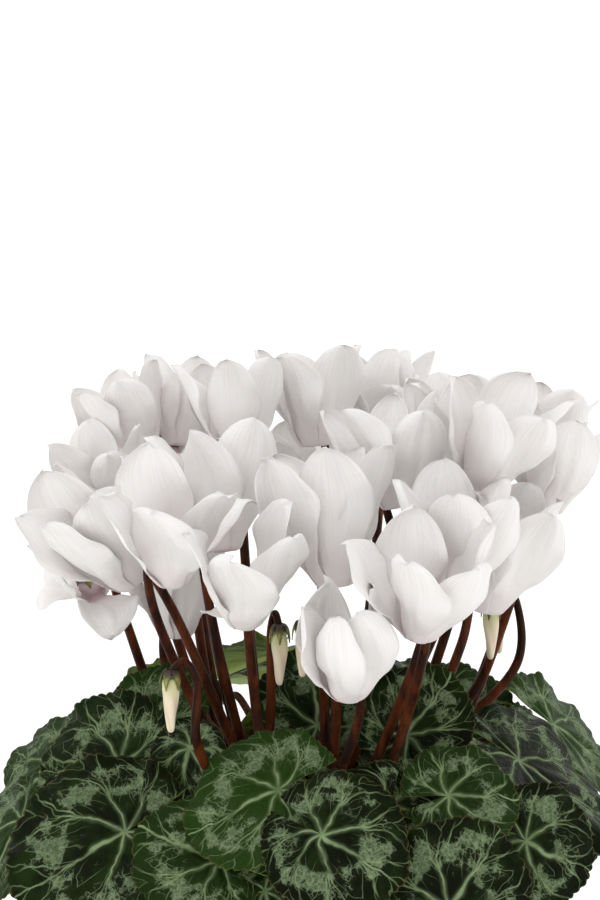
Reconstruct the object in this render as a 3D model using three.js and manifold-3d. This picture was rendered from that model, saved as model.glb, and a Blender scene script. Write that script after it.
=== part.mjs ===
// A potted florist's cyclamen in full flower: a plain round pot, its soil, the tuber, one crown of hooked
// flower stalks and leaf stalks, white blooms with reflexed petals, hanging buds and heart-shaped leaves.
// Millimetres, +Z up. The origin is the middle of the pot's underside, and the plant's front faces -Y.
import * as THREE from "three";
import { mergeGeometries, mergeVertices } from "three/addons/utils/BufferGeometryUtils.js";
import Module from "manifold-3d";

const wasm = await Module();
wasm.setup();
const radians = THREE.MathUtils.degToRad;

// Pot and soil
const POT_HEIGHT = 120;
const POT_TOP_RADIUS = 70;
const POT_FOOT_RADIUS = 50;
const POT_WALL = 2.2;
const POT_FLOOR = 3;
const RIM_HEIGHT = 14;
const RIM_PROUD = 2.5;
const POT_SIDES = 32;
const DRAIN_HOLES = 6;
const DRAIN_RADIUS = 4;
const DRAIN_CIRCLE = 32;
const SOIL_TOP = 107;
const SEAT_GAP = 0.3; // between a piece and what carries it

// Tuber and crown
const TUBER_RADIUS = 32;
const TUBER_TOP = 113;
const TUBER_DEPTH = 32;
const TUBER_NECK = 24;
const CROWN_RADIUS = 23;
const CROWN_HEIGHT = 7;
const ROOT_Z = TUBER_TOP + 2.6; // where the stalks start, inside the crown
const ROOT_SPREAD = 0.13; // share of a stalk's reach at which it leaves the crown

// Flower stalks
const STALK_RADIUS = 1.9;
const STALK_SIDES = 4;
const HOOK_REACH = 11.2; // from a bloom's axis out to its stalk
const HOOK_TOP = 16.5;
const CALYX_BASE = 9.7; // lowest edge of a calyx above its bloom's mouth
const CALYX_TOP = 14.5;

// Leaf stalks and blades
const PETIOLE_RADIUS = 1.8;
const PETIOLE_SIDES = 3;
const BLADE_THICKNESS = 0.8;
const BLADE_SECTORS = 10;
const TEETH_PER_SECTOR = 2;
const SINUS_HALF_ANGLE = 0.16; // radians between a lobe's edge and the line behind the midrib
const TOOTH_DEPTH = 0.05; // share of the blade's reach

// Petals
const PETAL_LENGTH = 50; // from the fold at the mouth to the tip
const PETAL_HALF_WIDTH = 14;
const PETAL_FOOT_HALF_WIDTH = 4.6;
const PETAL_THICKNESS = 0.65;
const PETAL_WIDEST = 0.58; // share of the length
const PETAL_LAP = radians(12); // each petal's foot is turned so that one edge lies over its neighbour
const TUBE_TOP = 9.4;
const TUBE_TOP_RADIUS = 5;
const MOUTH_DEPTH = 5;
const FOLD_RADIUS = 2;
const FOLD_CENTRE = 6.2; // from the bloom's axis to the middle of the fold
const FOLD_UNDERSIDE = -0.3;
const PETAL_BEARINGS = [50, 115, 180, 245, 310]; // degrees round the axis from the stalk's side

const BUD_LENGTH = 24;
const BUD_RADIUS = 3.6;

const vec = (x, y, z) => new THREE.Vector3(x, y, z);

// One fixed pseudo-random number from -1 to 1 for each pair of whole numbers.
function vary(item, trait) {
  const wave = Math.sin(item * 12.9898 + trait * 78.233) * 43758.5453;
  return 2 * (wave - Math.floor(wave)) - 1;
}

// From 0 to 1 with level ends.
function smooth(share) {
  const held = Math.min(Math.max(share, 0), 1);
  return held * held * (3 - 2 * held);
}

// ---- solids ----

function solidOf(geometry) {
  const bare = geometry.clone();
  bare.deleteAttribute("normal");
  bare.deleteAttribute("uv");
  const merged = mergeVertices(bare, 1e-4);
  return new wasm.Manifold(
    new wasm.Mesh({
      numProp: 3,
      vertProperties: new Float32Array(merged.attributes.position.array),
      triVerts: new Uint32Array(merged.index.array),
    }),
  );
}

function geometryOf(solid) {
  const mesh = solid.getMesh();
  const geometry = new THREE.BufferGeometry();
  geometry.setAttribute("position", new THREE.BufferAttribute(mesh.vertProperties, 3));
  geometry.setIndex(new THREE.BufferAttribute(mesh.triVerts, 1));
  geometry.computeVertexNormals();
  return geometry;
}

const joined = (solids) => solids.reduce((whole, next) => whole.add(next));

// A closed lathe about +Z. Its profile of [radius, height] pairs runs from the axis below to the axis above.
function turned(profile, sides) {
  const points = profile.map(([radius, height]) => new THREE.Vector2(radius, height));
  return new THREE.LatheGeometry(points, sides).rotateX(Math.PI / 2);
}

// A curve through its points whose steps fall on the points themselves.
class PointPath extends THREE.CatmullRomCurve3 {
  getUtoTmapping(u) {
    return u;
  }
}

// A round stalk of a few sides that runs through the given points.
function stalk(points, radius, sides) {
  const section = new THREE.Shape();
  for (let i = 0; i < sides; i++) {
    const angle = (i / sides) * 2 * Math.PI;
    section[i ? "lineTo" : "moveTo"](radius * Math.cos(angle), radius * Math.sin(angle));
  }
  section.closePath();
  const extrudePath = new PointPath(points);
  return new THREE.ExtrudeGeometry(section, { steps: points.length - 1, extrudePath, bevelEnabled: false });
}

// A thin blade of even thickness about a middle surface: both faces have the same triangles, and a strip
// follows the rim, a counterclockwise path of point numbers. Each point is { place, normal }.
function bladeGeometry(points, triangles, rim, thickness) {
  const count = points.length;
  const faces = [];
  const corners = new Float32Array(count * 6);
  points.forEach(({ place, normal }, i) => {
    place.clone().addScaledVector(normal, thickness / 2).toArray(corners, i * 3);
    place.clone().addScaledVector(normal, -thickness / 2).toArray(corners, (count + i) * 3);
  });
  for (const [a, b, c] of triangles) {
    faces.push(a, b, c, count + c, count + b, count + a);
  }
  rim.slice(1).forEach((to, i) => {
    const from = rim[i];
    faces.push(to, from, count + from, to, count + from, count + to);
  });
  const geometry = new THREE.BufferGeometry();
  geometry.setAttribute("position", new THREE.BufferAttribute(corners, 3));
  geometry.setIndex(faces);
  return geometry;
}

// Triangles between two rows of point numbers that may differ in length.
function strip(lower, upper) {
  const faces = [];
  let i = 0;
  let j = 0;
  while (i < lower.length - 1 || j < upper.length - 1) {
    const lowerNext = (i + 1) / (lower.length - 1 || 0.5);
    const upperNext = (j + 1) / (upper.length - 1 || 0.5);
    if (lowerNext <= upperNext) {
      faces.push([lower[i], lower[i + 1], upper[j]]);
      i += 1;
    } else {
      faces.push([lower[i], upper[j + 1], upper[j]]);
      j += 1;
    }
  }
  return faces;
}

// A point of a surface of two parameters with its unit normal, from small steps along both.
function surfacePoint(surface, u, v) {
  const step = 1e-3;
  const along = surface(u + step, v).sub(surface(u - step, v));
  const up = surface(u, v + step).sub(surface(u, v - step));
  return { place: surface(u, v), normal: along.cross(up).normalize() };
}

// ---- pot, soil, tuber ----

function potSolid() {
  const rimFoot = POT_HEIGHT - RIM_HEIGHT;
  const slope = (POT_TOP_RADIUS - POT_FOOT_RADIUS) / POT_HEIGHT;
  const outerAt = (height) => POT_FOOT_RADIUS + slope * height;
  const profile = [
    [0, 0],
    [POT_FOOT_RADIUS, 0],
    [outerAt(rimFoot), rimFoot],
    [outerAt(rimFoot) + RIM_PROUD, rimFoot + 1],
    [POT_TOP_RADIUS + RIM_PROUD, POT_HEIGHT - 1],
    [POT_TOP_RADIUS + RIM_PROUD - 1.2, POT_HEIGHT],
    [POT_TOP_RADIUS - POT_WALL, POT_HEIGHT],
    [outerAt(POT_FLOOR) - POT_WALL, POT_FLOOR],
    [0, POT_FLOOR],
  ];
  const drains = [];
  for (let i = 0; i < DRAIN_HOLES; i++) {
    const angle = ((i + 0.5) / DRAIN_HOLES) * 2 * Math.PI;
    const drain = new THREE.CylinderGeometry(DRAIN_RADIUS, DRAIN_RADIUS, 4 * POT_FLOOR, 8);
    drain.rotateX(Math.PI / 2).translate(DRAIN_CIRCLE * Math.cos(angle), DRAIN_CIRCLE * Math.sin(angle), 0);
    drains.push(solidOf(drain));
  }
  return solidOf(turned(profile, POT_SIDES)).subtract(joined(drains));
}

// The tuber's outline from its lowest point up to its widest, as [radius, height] pairs.
function tuberProfile(clearance) {
  const middle = TUBER_TOP - 0.45 * TUBER_DEPTH;
  const depth = 0.55 * TUBER_DEPTH + clearance;
  return [0, 25, 50, 75, 90].map((degrees) => {
    const angle = radians(degrees);
    return [(TUBER_RADIUS + clearance) * Math.sin(angle), middle - depth * Math.cos(angle)];
  });
}

function tuberGeometry() {
  return turned(
    [
      ...tuberProfile(0),
      [0.8 * TUBER_RADIUS, TUBER_TOP - 4],
      [TUBER_NECK, TUBER_TOP],
      [0, TUBER_TOP],
    ],
    16,
  );
}

function soilGeometry() {
  const slope = (POT_TOP_RADIUS - POT_FOOT_RADIUS) / POT_HEIGHT;
  const innerAt = (height) => POT_FOOT_RADIUS + slope * height - POT_WALL - 2 * SEAT_GAP;
  const hole = tuberProfile(SEAT_GAP);
  const low = POT_FLOOR + SEAT_GAP;
  const edge = hole[hole.length - 1];
  return turned(
    [
      [0, low],
      [innerAt(low), low],
      [innerAt(SOIL_TOP), SOIL_TOP],
      [edge[0] + 1, SOIL_TOP],
      edge,
      ...hole.slice(0, -1).reverse(),
    ],
    POT_SIDES,
  );
}

// ---- stalks ----

// A bloom's or bud's own axes: up along its tilted axis, and out towards its stalk.
function bloomAxes({ turn, lean = [0, 0] }) {
  const up = vec(lean[0], lean[1], 1).normalize();
  const side = vec(Math.cos(radians(turn)), Math.sin(radians(turn)), 0);
  side.addScaledVector(up, -side.dot(up)).normalize();
  return { up, side, across: up.clone().cross(side) };
}

// A flower stalk climbs from the crown, passes beside the bloom and hooks over its axis, down into the calyx.
// `knee` moves its lowest bend sideways.
function flowerStalk(flower) {
  const { up, side } = bloomAxes(flower);
  const base = vec(...flower.at);
  const near = (reach, height) => base.clone().addScaledVector(side, reach).addScaledVector(up, height);
  const below = near(HOOK_REACH, -20);
  const knee = flower.knee ?? [0, 0];
  const points = [
    vec(ROOT_SPREAD * below.x, ROOT_SPREAD * below.y, ROOT_Z),
    vec(0.55 * below.x + knee[0], 0.55 * below.y + knee[1], ROOT_Z + 28),
    below,
    near(HOOK_REACH, 8),
    near(0.5 * HOOK_REACH, HOOK_TOP),
    near(0, CALYX_BASE + 2),
  ];
  const calyx = turned(
    [
      [0, CALYX_BASE],
      [4.2, CALYX_BASE],
      [0, CALYX_TOP],
    ],
    STALK_SIDES,
  );
  const frame = new THREE.Matrix4().makeBasis(side, up.clone().cross(side), up).setPosition(base);
  return [stalk(points, STALK_RADIUS, STALK_SIDES), calyx.applyMatrix4(frame)];
}

// A blade's own axes: its normal tips from the vertical towards the bearing `out`, and its midrib is turned
// by `spin` in its plane from the line straight down the slope.
function bladeAxes({ out, tilt, spin }) {
  const [bearing, slope, turn] = [radians(out), radians(tilt), radians(spin)];
  const normal = vec(Math.sin(slope) * Math.cos(bearing), Math.sin(slope) * Math.sin(bearing), Math.cos(slope));
  const down = vec(Math.cos(slope) * Math.cos(bearing), Math.cos(slope) * Math.sin(bearing), -Math.sin(slope));
  const rib = down.clone().multiplyScalar(Math.cos(turn));
  rib.addScaledVector(normal.clone().cross(down), Math.sin(turn));
  return { normal, rib, left: normal.clone().cross(rib) };
}

// A leaf stalk leaves the crown low, bends up and meets its blade from below at the bottom of the notch.
// `bow` lifts its two middle bends.
function leafStalk(leaf) {
  const { normal } = bladeAxes(leaf);
  const [x, y, z] = leaf.at;
  const meeting = vec(x, y, z).addScaledVector(normal, -BLADE_THICKNESS / 2 - 1.2 * SEAT_GAP);
  const under = vec(x, y, z).addScaledVector(normal, -10);
  const bow = leaf.bow ?? 0;
  const points = [
    vec(ROOT_SPREAD * x, ROOT_SPREAD * y, ROOT_Z),
    vec(0.4 * x, 0.4 * y, ROOT_Z + 0.22 * (z - ROOT_Z) + 2 + bow),
    vec(0.74 * x, 0.74 * y, ROOT_Z + 0.62 * (z - ROOT_Z) + bow),
    under,
    meeting,
  ];
  return stalk(points, PETIOLE_RADIUS, PETIOLE_SIDES);
}

function stalksSolid(flowers, leaves) {
  const low = TUBER_TOP + SEAT_GAP;
  const crown = turned(
    [
      [0, low],
      [CROWN_RADIUS, low],
      [0.92 * CROWN_RADIUS, low + 0.7 * CROWN_HEIGHT],
      [0.5 * CROWN_RADIUS, low + CROWN_HEIGHT],
      [0, low + CROWN_HEIGHT],
    ],
    8,
  );
  const pieces = [crown, ...flowers.flatMap(flowerStalk), ...leaves.map(leafStalk)];
  return joined(pieces.map(solidOf));
}

// ---- blooms ----

// One petal as a surface: u runs across it from -1 to 1, and v from 0 where it leaves the fold at the mouth to
// 1 at the tip; below 0 it is its root in the fold. The middle line is an arc whose heading goes from open[0]
// to open[1] degrees outward of the bloom's axis, and `sway` carries the tip sideways. The blade widens, rounds
// off, twists and is bowed.
function petalSurface(bloom, index, petal) {
  const { up, side, across } = bloomAxes(bloom);
  const base = vec(...bloom.at);
  const special = bloom.petals?.[petal] ?? {};
  const size = bloom.size ?? 1;
  const draw = (trait) => vary(index, 10 * petal + trait);
  const bearing = radians(PETAL_BEARINGS[petal] + (special.shift ?? 3 * draw(1)));
  const [first, last] = special.open ?? bloom.open ?? [28, 2];
  const startHeading = radians(first + 4 * draw(2));
  const endHeading = radians(last + 6 * draw(3));
  const length = PETAL_LENGTH * size * (special.length ?? 1 + 0.05 * draw(4));
  const halfWidth = PETAL_HALF_WIDTH * size * (special.width ?? bloom.width ?? 1 + 0.07 * draw(5));
  const twist = radians((special.twist ?? bloom.twist ?? 22) + 6 * draw(6));
  const sway = (special.sway ?? 0.04 * draw(8)) * length;
  const bow = special.bow ?? 0.28 + 0.1 * draw(7);
  const outward = side.clone().multiplyScalar(Math.cos(bearing)).addScaledVector(across, Math.sin(bearing));
  const around = up.clone().cross(outward);
  const foldEnd = [
    FOLD_CENTRE + FOLD_RADIUS * Math.cos(startHeading),
    FOLD_RADIUS * (1 - Math.sin(startHeading)),
  ];
  const turnRate = (endHeading - startHeading) / length;

  return (u, v) => {
    let heading = startHeading + turnRate * v * length;
    let reach = foldEnd[0] + (Math.cos(startHeading) - Math.cos(heading)) / turnRate;
    let height = foldEnd[1] + (Math.sin(heading) - Math.sin(startHeading)) / turnRate;
    if (v < 0) {
      heading = startHeading - 5 * Math.PI * v;
      reach = FOLD_CENTRE + FOLD_RADIUS * Math.cos(heading);
      height = FOLD_RADIUS * (1 - Math.sin(heading));
    }
    const swell = smooth(v / PETAL_WIDEST);
    const falling = Math.max((v - PETAL_WIDEST) / (1 - PETAL_WIDEST), 0);
    const foot = PETAL_FOOT_HALF_WIDTH * (1 + 4 * Math.min(v, 0));
    const reachAcross = (foot + (halfWidth - foot) * swell) * Math.sqrt(Math.max(1 - falling ** 2.6, 0));
    const turning = PETAL_LAP + (twist - PETAL_LAP) * smooth(v / 0.8);
    const place = base.clone().addScaledVector(outward, reach).addScaledVector(up, height);
    const face = outward.clone().multiplyScalar(Math.cos(heading)).addScaledVector(up, -Math.sin(heading));
    const wide = around.clone().multiplyScalar(Math.cos(turning)).addScaledVector(face, Math.sin(turning));
    const normal = face.clone().multiplyScalar(Math.cos(turning)).addScaledVector(around, -Math.sin(turning));
    place.addScaledVector(around, sway * v * Math.max(v, 0));
    place.addScaledVector(wide, u * reachAcross);
    place.addScaledVector(normal, -bow * reachAcross * u * u * Math.min(Math.max(v * 4, 0), 1));
    return place;
  };
}

// A petal's two faces and its edge, open at the foot row, with the four corners of that row.
function petalShell(bloom, index, petal) {
  const surface = petalSurface(bloom, index, petal);
  const rows = [
    [0, [-1, 1]],
    [0.2, [-1, 0, 1]],
    [0.48, [-1, 0, 1]],
    [0.78, [-1, 0, 1]],
    [0.96, [-1, 1]],
  ];
  const points = [];
  const numbers = rows.map(([v, places]) => places.map((u) => points.push(surfacePoint(surface, u, v)) - 1));
  const triangles = numbers.slice(1).flatMap((row, i) => strip(numbers[i], row));
  const right = numbers.slice(0, -1).map((row) => row[row.length - 1]);
  const left = numbers.slice(0, -1).map((row) => row[0]);
  const rim = [...right, ...numbers[numbers.length - 1].slice().reverse(), ...left.reverse()];
  const feet = numbers[0].map((number) => points[number]);
  return { shell: bladeGeometry(points, triangles, rim, PETAL_THICKNESS), feet };
}

// A corolla: a short tube whose mouth folds back into five petals. The tube's rings of corners follow the
// petals' feet, and the band between the two foot rings is left open where a petal grows from it.
function bloomGeometry(bloom, index) {
  const { up, side, across } = bloomAxes(bloom);
  const frame = new THREE.Matrix4().makeBasis(side, across, up).setPosition(...bloom.at);
  const inward = frame.clone().invert();
  const petals = PETAL_BEARINGS.map((_, petal) => petalShell(bloom, index, petal));
  const footRing = (shift) =>
    petals.flatMap(({ feet }) => feet.map(({ place, normal }) => place.clone().addScaledVector(normal, shift)));
  const ring = (radius, height) =>
    footRing(0).map((foot) => {
      const bearing = foot.clone().applyMatrix4(inward);
      const angle = Math.atan2(bearing.y, bearing.x);
      return vec(radius * Math.cos(angle), radius * Math.sin(angle), height).applyMatrix4(frame);
    });
  const rings = [
    ring(FOLD_CENTRE - 1, FOLD_UNDERSIDE),
    ring(FOLD_CENTRE + 1, FOLD_UNDERSIDE),
    footRing(PETAL_THICKNESS / 2),
    footRing(-PETAL_THICKNESS / 2),
    ring(TUBE_TOP_RADIUS, TUBE_TOP),
  ];
  const columns = rings[0].length;
  const corners = [];
  for (let column = 0; column < columns; column++) {
    const next = (column + 1) % columns;
    corners.push(vec(0, 0, MOUTH_DEPTH).applyMatrix4(frame), rings[0][next], rings[0][column]);
    corners.push(rings[4][column], rings[4][next], vec(0, 0, TUBE_TOP).applyMatrix4(frame));
    for (const [lower, upper] of [[0, 1], [1, 2], [2, 3], [3, 4]]) {
      if (lower === 2 && column % 2 === 0) continue;
      corners.push(rings[lower][column], rings[lower][next], rings[upper][next]);
      corners.push(rings[lower][column], rings[upper][next], rings[upper][column]);
    }
  }
  const tube = new THREE.BufferGeometry().setFromPoints(corners);
  const shells = petals.map(({ shell }) => shell.toNonIndexed());
  return mergeVertices(mergeGeometries([tube, ...shells]), 1e-4);
}

// A bud hangs point down from its calyx.
function budGeometry(bud) {
  const { up, side, across } = bloomAxes(bud);
  const size = bud.size ?? 1;
  const top = CALYX_BASE - SEAT_GAP;
  const profile = [
    [0, top - BUD_LENGTH * size],
    [0.45 * BUD_RADIUS * size, top - 0.93 * BUD_LENGTH * size],
    [0.9 * BUD_RADIUS * size, top - 0.6 * BUD_LENGTH * size],
    [BUD_RADIUS * size, top - 0.25 * BUD_LENGTH * size],
    [0.7 * BUD_RADIUS * size, top],
    [0, top],
  ];
  const frame = new THREE.Matrix4().makeBasis(side, across, up).setPosition(...bud.at);
  return turned(profile, 7).applyMatrix4(frame);
}

// ---- leaves ----

// One blade as a surface: `share` runs from 0 at the notch's bottom to 1 at the margin, and `angle` round it
// from the midrib. The margin is heart-shaped, and the blade droops at its edge and ripples round it.
function leafReach(angle) {
  const point = 0.05 * Math.exp(-((angle / 0.3) ** 2));
  return 0.8 + 0.18 * Math.cos(angle) + point;
}

function leafSurface(leaf, index) {
  const { normal, rib, left } = bladeAxes(leaf);
  const notch = vec(...leaf.at);
  const phase = 3 * vary(index, 1);
  const droop = leaf.droop ?? 0.12 + 0.04 * vary(index, 2);
  const ripple = 0.035 + 0.015 * vary(index, 3);
  return (share, angle) => {
    const reach = leaf.size * leafReach(angle) * share;
    const lift =
      leaf.size * share * share * (ripple * Math.sin(4 * angle + phase) - droop) +
      0.06 * leaf.size * share * Math.abs(Math.sin(angle));
    return notch
      .clone()
      .addScaledVector(rib, reach * Math.cos(angle))
      .addScaledVector(left, reach * Math.sin(angle))
      .addScaledVector(normal, lift);
  };
}

function leafGeometry(leaf, index) {
  const surface = leafSurface(leaf, index);
  const span = Math.PI - SINUS_HALF_ANGLE;
  const points = [{ place: surface(0, 0), normal: bladeAxes(leaf).normal }];
  const ringOf = (count, share) => {
    const ring = [];
    for (let i = 0; i <= count; i++) {
      const angle = span * ((2 * i) / count - 1);
      ring.push(points.push(surfacePoint(surface, share(i), angle)) - 1);
    }
    return ring;
  };
  const inner = ringOf(BLADE_SECTORS, () => 0.52);
  const teeth = BLADE_SECTORS * TEETH_PER_SECTOR;
  const margin = ringOf(teeth, (i) => (i % 2 ? 1 - TOOTH_DEPTH : 1));
  const triangles = [...inner.slice(1).map((next, i) => [0, inner[i], next]), ...strip(margin, inner)];
  const rim = [0, inner[0], ...margin, inner[inner.length - 1], 0];
  return bladeGeometry(points, triangles, rim, BLADE_THICKNESS);
}

// ---- the plant's layout ----

// Where each bloom's mouth is, the bearing of its stalk, how its axis leans, and how far its petals open.
const BLOOMS = [
  { at: [-73, 57, 283], turn: 42, lean: [-0.4, 0.06], knee: [-2, -5], size: 0.81 },
  { at: [-58, 70, 283], turn: 60, lean: [0.02, 0.66], knee: [-4, 6], size: 0.82 },
  { at: [-29, 33, 288], turn: 88, lean: [-0.07, 0.22], knee: [-1, 4], size: 0.89 },
  { at: [7, 61, 287], turn: 69, lean: [-0.08, 0.18], knee: [6, -1], size: 0.94 },
  { at: [29, 100, 278], turn: 118, lean: [0.15, -0.27], knee: [-4, -9], size: 0.86 },
  {
    at: [42, 126, 280], turn: 105, lean: [-0.04, 0.18], knee: [2, -3], size: 0.78,
    petals: { 2: { shift: -1, twist: 26 }, 3: { shift: 3, twist: 27 } },
  },
  {
    at: [44, -19, 279], turn: 125, lean: [-0.21, 0.21], knee: [-4, -4], size: 0.95,
    petals: { 2: { open: [40, 12] } },
  },
  { at: [71, 31, 276], turn: 50, lean: [-0.06, 0.13], knee: [-1, 4], size: 1.02 },
  { at: [78, -31, 290], turn: 127, lean: [0.3, -0.21], knee: [-2, -1], size: 1.02 },
  { at: [106, 44, 279], turn: 51, lean: [0.21, 0.18], knee: [1, -12], size: 0.82 },
  { at: [109, -1, 272], turn: 107, lean: [0.19, 0.2], knee: [4, 8], size: 0.9 },
  { at: [81, -37, 237], turn: 122, lean: [0.2, 0.02], petals: { 3: { twist: 32 } }, size: 1.1 },
  { at: [64, -71, 254], turn: 148, lean: [0.07, -0.01], knee: [-8, -8], size: 1.05 },
  {
    at: [50, -101, 246], turn: 72, lean: [0.1, -0.3], knee: [1, 5], size: 1.05,
    petals: { 1: { open: [36, 30] } },
  },
  {
    at: [21, -106, 222], turn: 75, lean: [-0.1, -0.4], knee: [-6, 4],
    open: [38, -28], twist: 25, width: 0.86,
  },
  { at: [15, -64, 256], turn: 97, lean: [-0.09, 0.18], knee: [4, 2], size: 1.2 },
  {
    at: [-23, -88, 248], turn: 86, lean: [-0.02, -0.4], size: 1.03, knee: [0, -2],
    petals: {
      0: { open: [80, 185], length: 0.7, sway: -0.9, width: 0.8 },
      1: { width: 0.95 },
      2: { width: 1.03 },
    },
  },
  { at: [-34, -20, 259], turn: 141, lean: [-0.11, 0.35], knee: [3, 1], size: 1.1 },
  {
    at: [-54, -71, 261], turn: 152, lean: [-0.07, -0.37], knee: [11, 7], size: 1.1,
    petals: { 3: { open: [36, 80], length: 0.8 } },
  },
  { at: [-73, -40, 251], turn: 58, lean: [-0.62, -0.28], knee: [13, -4], size: 1.12 },
  {
    at: [-93, 0, 234], turn: 46, lean: [-0.25, -0.47], knee: [-7, 11], size: 0.95,
    petals: { 1: { open: [68, 110], length: 0.45 }, 3: { open: [60, 110], length: 0.6 } },
  },
  { at: [-84, 32, 263], turn: 50, lean: [-0.27, -0.24], knee: [5, 2], size: 0.79 },
  { at: [-56, 6, 212], turn: 117, lean: [-0.02, 0.05], knee: [8, 9], size: 0.9 },
  { at: [-42, 98, 256], turn: 241, lean: [0.03, 0.44], knee: [0, -6], size: 0.85 },
  { at: [5, 121, 239], turn: 296, lean: [-0.08, -0.08], knee: [-5, -6], size: 0.85 },
  { at: [73, 84, 255], turn: 297, lean: [-0.04, 0.21], knee: [-7, 5], size: 0.85 },
];

const BUDS = [
  { at: [-55, -85, 212], turn: 13, knee: [0, -4] },
  { at: [-9, -36, 217], turn: 110, knee: [-6, -5] },
  { at: [1, -41, 220], turn: 32, size: 0.9, knee: [5, -5] },
  { at: [86, -2, 218], turn: 91, knee: [-1, -2] },
  { at: [91, 18, 212], turn: 39, size: 0.9, knee: [-6, 3] },
];

// Where each blade's notch is, its reach, the bearing and slope that it faces, and how its midrib is turned.
const LEAVES = [
  { at: [-9, -101, 177], size: 43, out: -124, tilt: 40, spin: -49, bow: 7 },
  { at: [-35, -106, 147], size: 38, out: -95, tilt: 41, spin: -113, bow: -6 },
  { at: [9, -127, 167], size: 38, out: -93, tilt: 52, spin: 57, bow: -8 },
  { at: [38, -95, 167], size: 31, out: -86, tilt: 64, spin: -26, bow: 5 },
  { at: [63, -95, 172], size: 32, out: -73, tilt: 40, spin: 89 },
  { at: [97, -33, 166], size: 56, out: -21, tilt: 35, spin: 16, bow: 4 },
  { at: [97, -85, 148], size: 34, out: -68, tilt: 70, spin: 59, bow: 8 },
  { at: [62, -129, 135], size: 40, out: -79, tilt: 65, spin: 139, bow: 15 },
  { at: [8, -3, 172], size: 36, out: -92, tilt: 71, spin: 186, bow: 11 },
  { at: [47, -49, 183], size: 33, out: -109, tilt: 66, spin: 155, bow: -5 },
  { at: [74, 66, 161], size: 42, out: -19, tilt: 24, spin: 115, bow: -5 },
  { at: [70, 33, 158], size: 38, out: -71, tilt: 48, spin: 122, bow: -3 },
  { at: [-79, -45, 169], size: 42, out: -120, tilt: 59, spin: -76, bow: 2 },
  { at: [-114, 11, 150], size: 42, out: -160, tilt: 45, spin: -18, bow: 2 },
  { at: [-75, -85, 152], size: 54, out: -104, tilt: 39, spin: -52, bow: -11 },
  { at: [-123, -46, 143], size: 38, out: -154, tilt: 53, spin: 4, bow: -3 },
  { at: [-48, -56, 180], size: 22, out: -109, tilt: 66, spin: -4, bow: 18 },
  { at: [-67, -16, 177], size: 30, out: -112, tilt: 53, spin: 161, bow: -4 },
  { at: [-76, 45, 173], size: 32, out: 141, tilt: 55, spin: 64, bow: 21 },
  { at: [118, 32, 160], size: 46, out: -13, tilt: 42, spin: 29, bow: 13 },
  { at: [89, 93, 142], size: 46, out: 58, tilt: 28, spin: 9, bow: 15 },
  { at: [41, 125, 154], size: 46, out: 81, tilt: 26, spin: 7 },
  { at: [-9, 121, 168], size: 46, out: 92, tilt: 34, spin: 14, bow: -9 },
  { at: [-40, 89, 163], size: 45, out: 135, tilt: 28, spin: -34, bow: 18 },
  { at: [-99, 78, 134], size: 45, out: 133, tilt: 61, spin: 7, bow: 15 },
];

// ---- materials and assembly ----

const finish = (color, roughness) => new THREE.MeshStandardMaterial({ color, roughness, metalness: 0 });
const potPlastic = finish("#9a5230", 0.6);
const peat = finish("#2c1f17", 1);
const cork = finish("#5d4431", 0.9);
const stalkSkin = finish("#562413", 0.55);
const petalWhite = finish("#ebe8e4", 0.6);
const budCream = finish("#e3d5bb", 0.6);
const leafGreen = finish("#2a4d2c", 0.6);

const plant = new THREE.Group();
const place = (name, geometry, material) => {
  const mesh = new THREE.Mesh(geometry, material);
  mesh.name = name;
  plant.add(mesh);
};
const numbered = (word, index) => word + "_" + String(index + 1).padStart(2, "0");

place("pot", geometryOf(potSolid()), potPlastic);
place("soil", soilGeometry(), peat);
place("tuber", tuberGeometry(), cork);
place("stalks", geometryOf(stalksSolid([...BLOOMS, ...BUDS], LEAVES)), stalkSkin);
BLOOMS.forEach((bloom, index) => place(numbered("bloom", index), bloomGeometry(bloom, index), petalWhite));
BUDS.forEach((bud, index) => place(numbered("bud", index), budGeometry(bud), budCream));
LEAVES.forEach((leaf, index) => place(numbered("leaf", index), leafGeometry(leaf, index), leafGreen));

export default plant;
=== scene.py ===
import math
import bmesh
import bpy
import numpy as np
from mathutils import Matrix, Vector


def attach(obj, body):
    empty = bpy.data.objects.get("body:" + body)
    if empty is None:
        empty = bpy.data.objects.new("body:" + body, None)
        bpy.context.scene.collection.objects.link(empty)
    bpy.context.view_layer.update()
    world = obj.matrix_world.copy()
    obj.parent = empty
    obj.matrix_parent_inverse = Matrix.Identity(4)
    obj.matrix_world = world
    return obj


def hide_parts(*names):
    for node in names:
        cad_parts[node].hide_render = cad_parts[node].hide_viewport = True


# A florist's cyclamen in a plain pot, 34 cm tall. Sizes are in millimetres and turn to metres in addPiece.
# Every piece takes the place of a CAD node and follows the same curves, with more points.

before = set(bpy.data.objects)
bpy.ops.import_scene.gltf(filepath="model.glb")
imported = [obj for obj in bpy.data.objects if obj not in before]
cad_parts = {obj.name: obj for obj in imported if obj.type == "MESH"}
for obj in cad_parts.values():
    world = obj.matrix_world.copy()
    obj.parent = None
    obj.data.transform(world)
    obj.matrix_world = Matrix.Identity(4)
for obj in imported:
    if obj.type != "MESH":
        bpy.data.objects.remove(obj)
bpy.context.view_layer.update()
mm = 0.001

view = {
    "target": (0, 0, 300),
    "elevation": 14,          # degrees that the camera looks down
    "distance": 1400,
    "lens": 126,              # mm, as the sensor
    "sensor": 36,
}

light = {
    "world": 1.08,
    "aim": (0, 0, 0.22),      # metres, as the places below
    "key": 4.5,               # watts, upper left in front
    "keyAt": (-1.3, -1.4, 1.6),
    "keySize": 1.1,
    "fill": 0.8,
    "fillAt": (1.6, -1.2, 0.9),
    "fillSize": 1.5,
    "back": 5,
    "backAt": (0.5, 1.7, 1.9),
    "backSize": 1.4,
    "floorGlow": 0.08,        # keeps the backdrop as white as the photograph's
}


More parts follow.
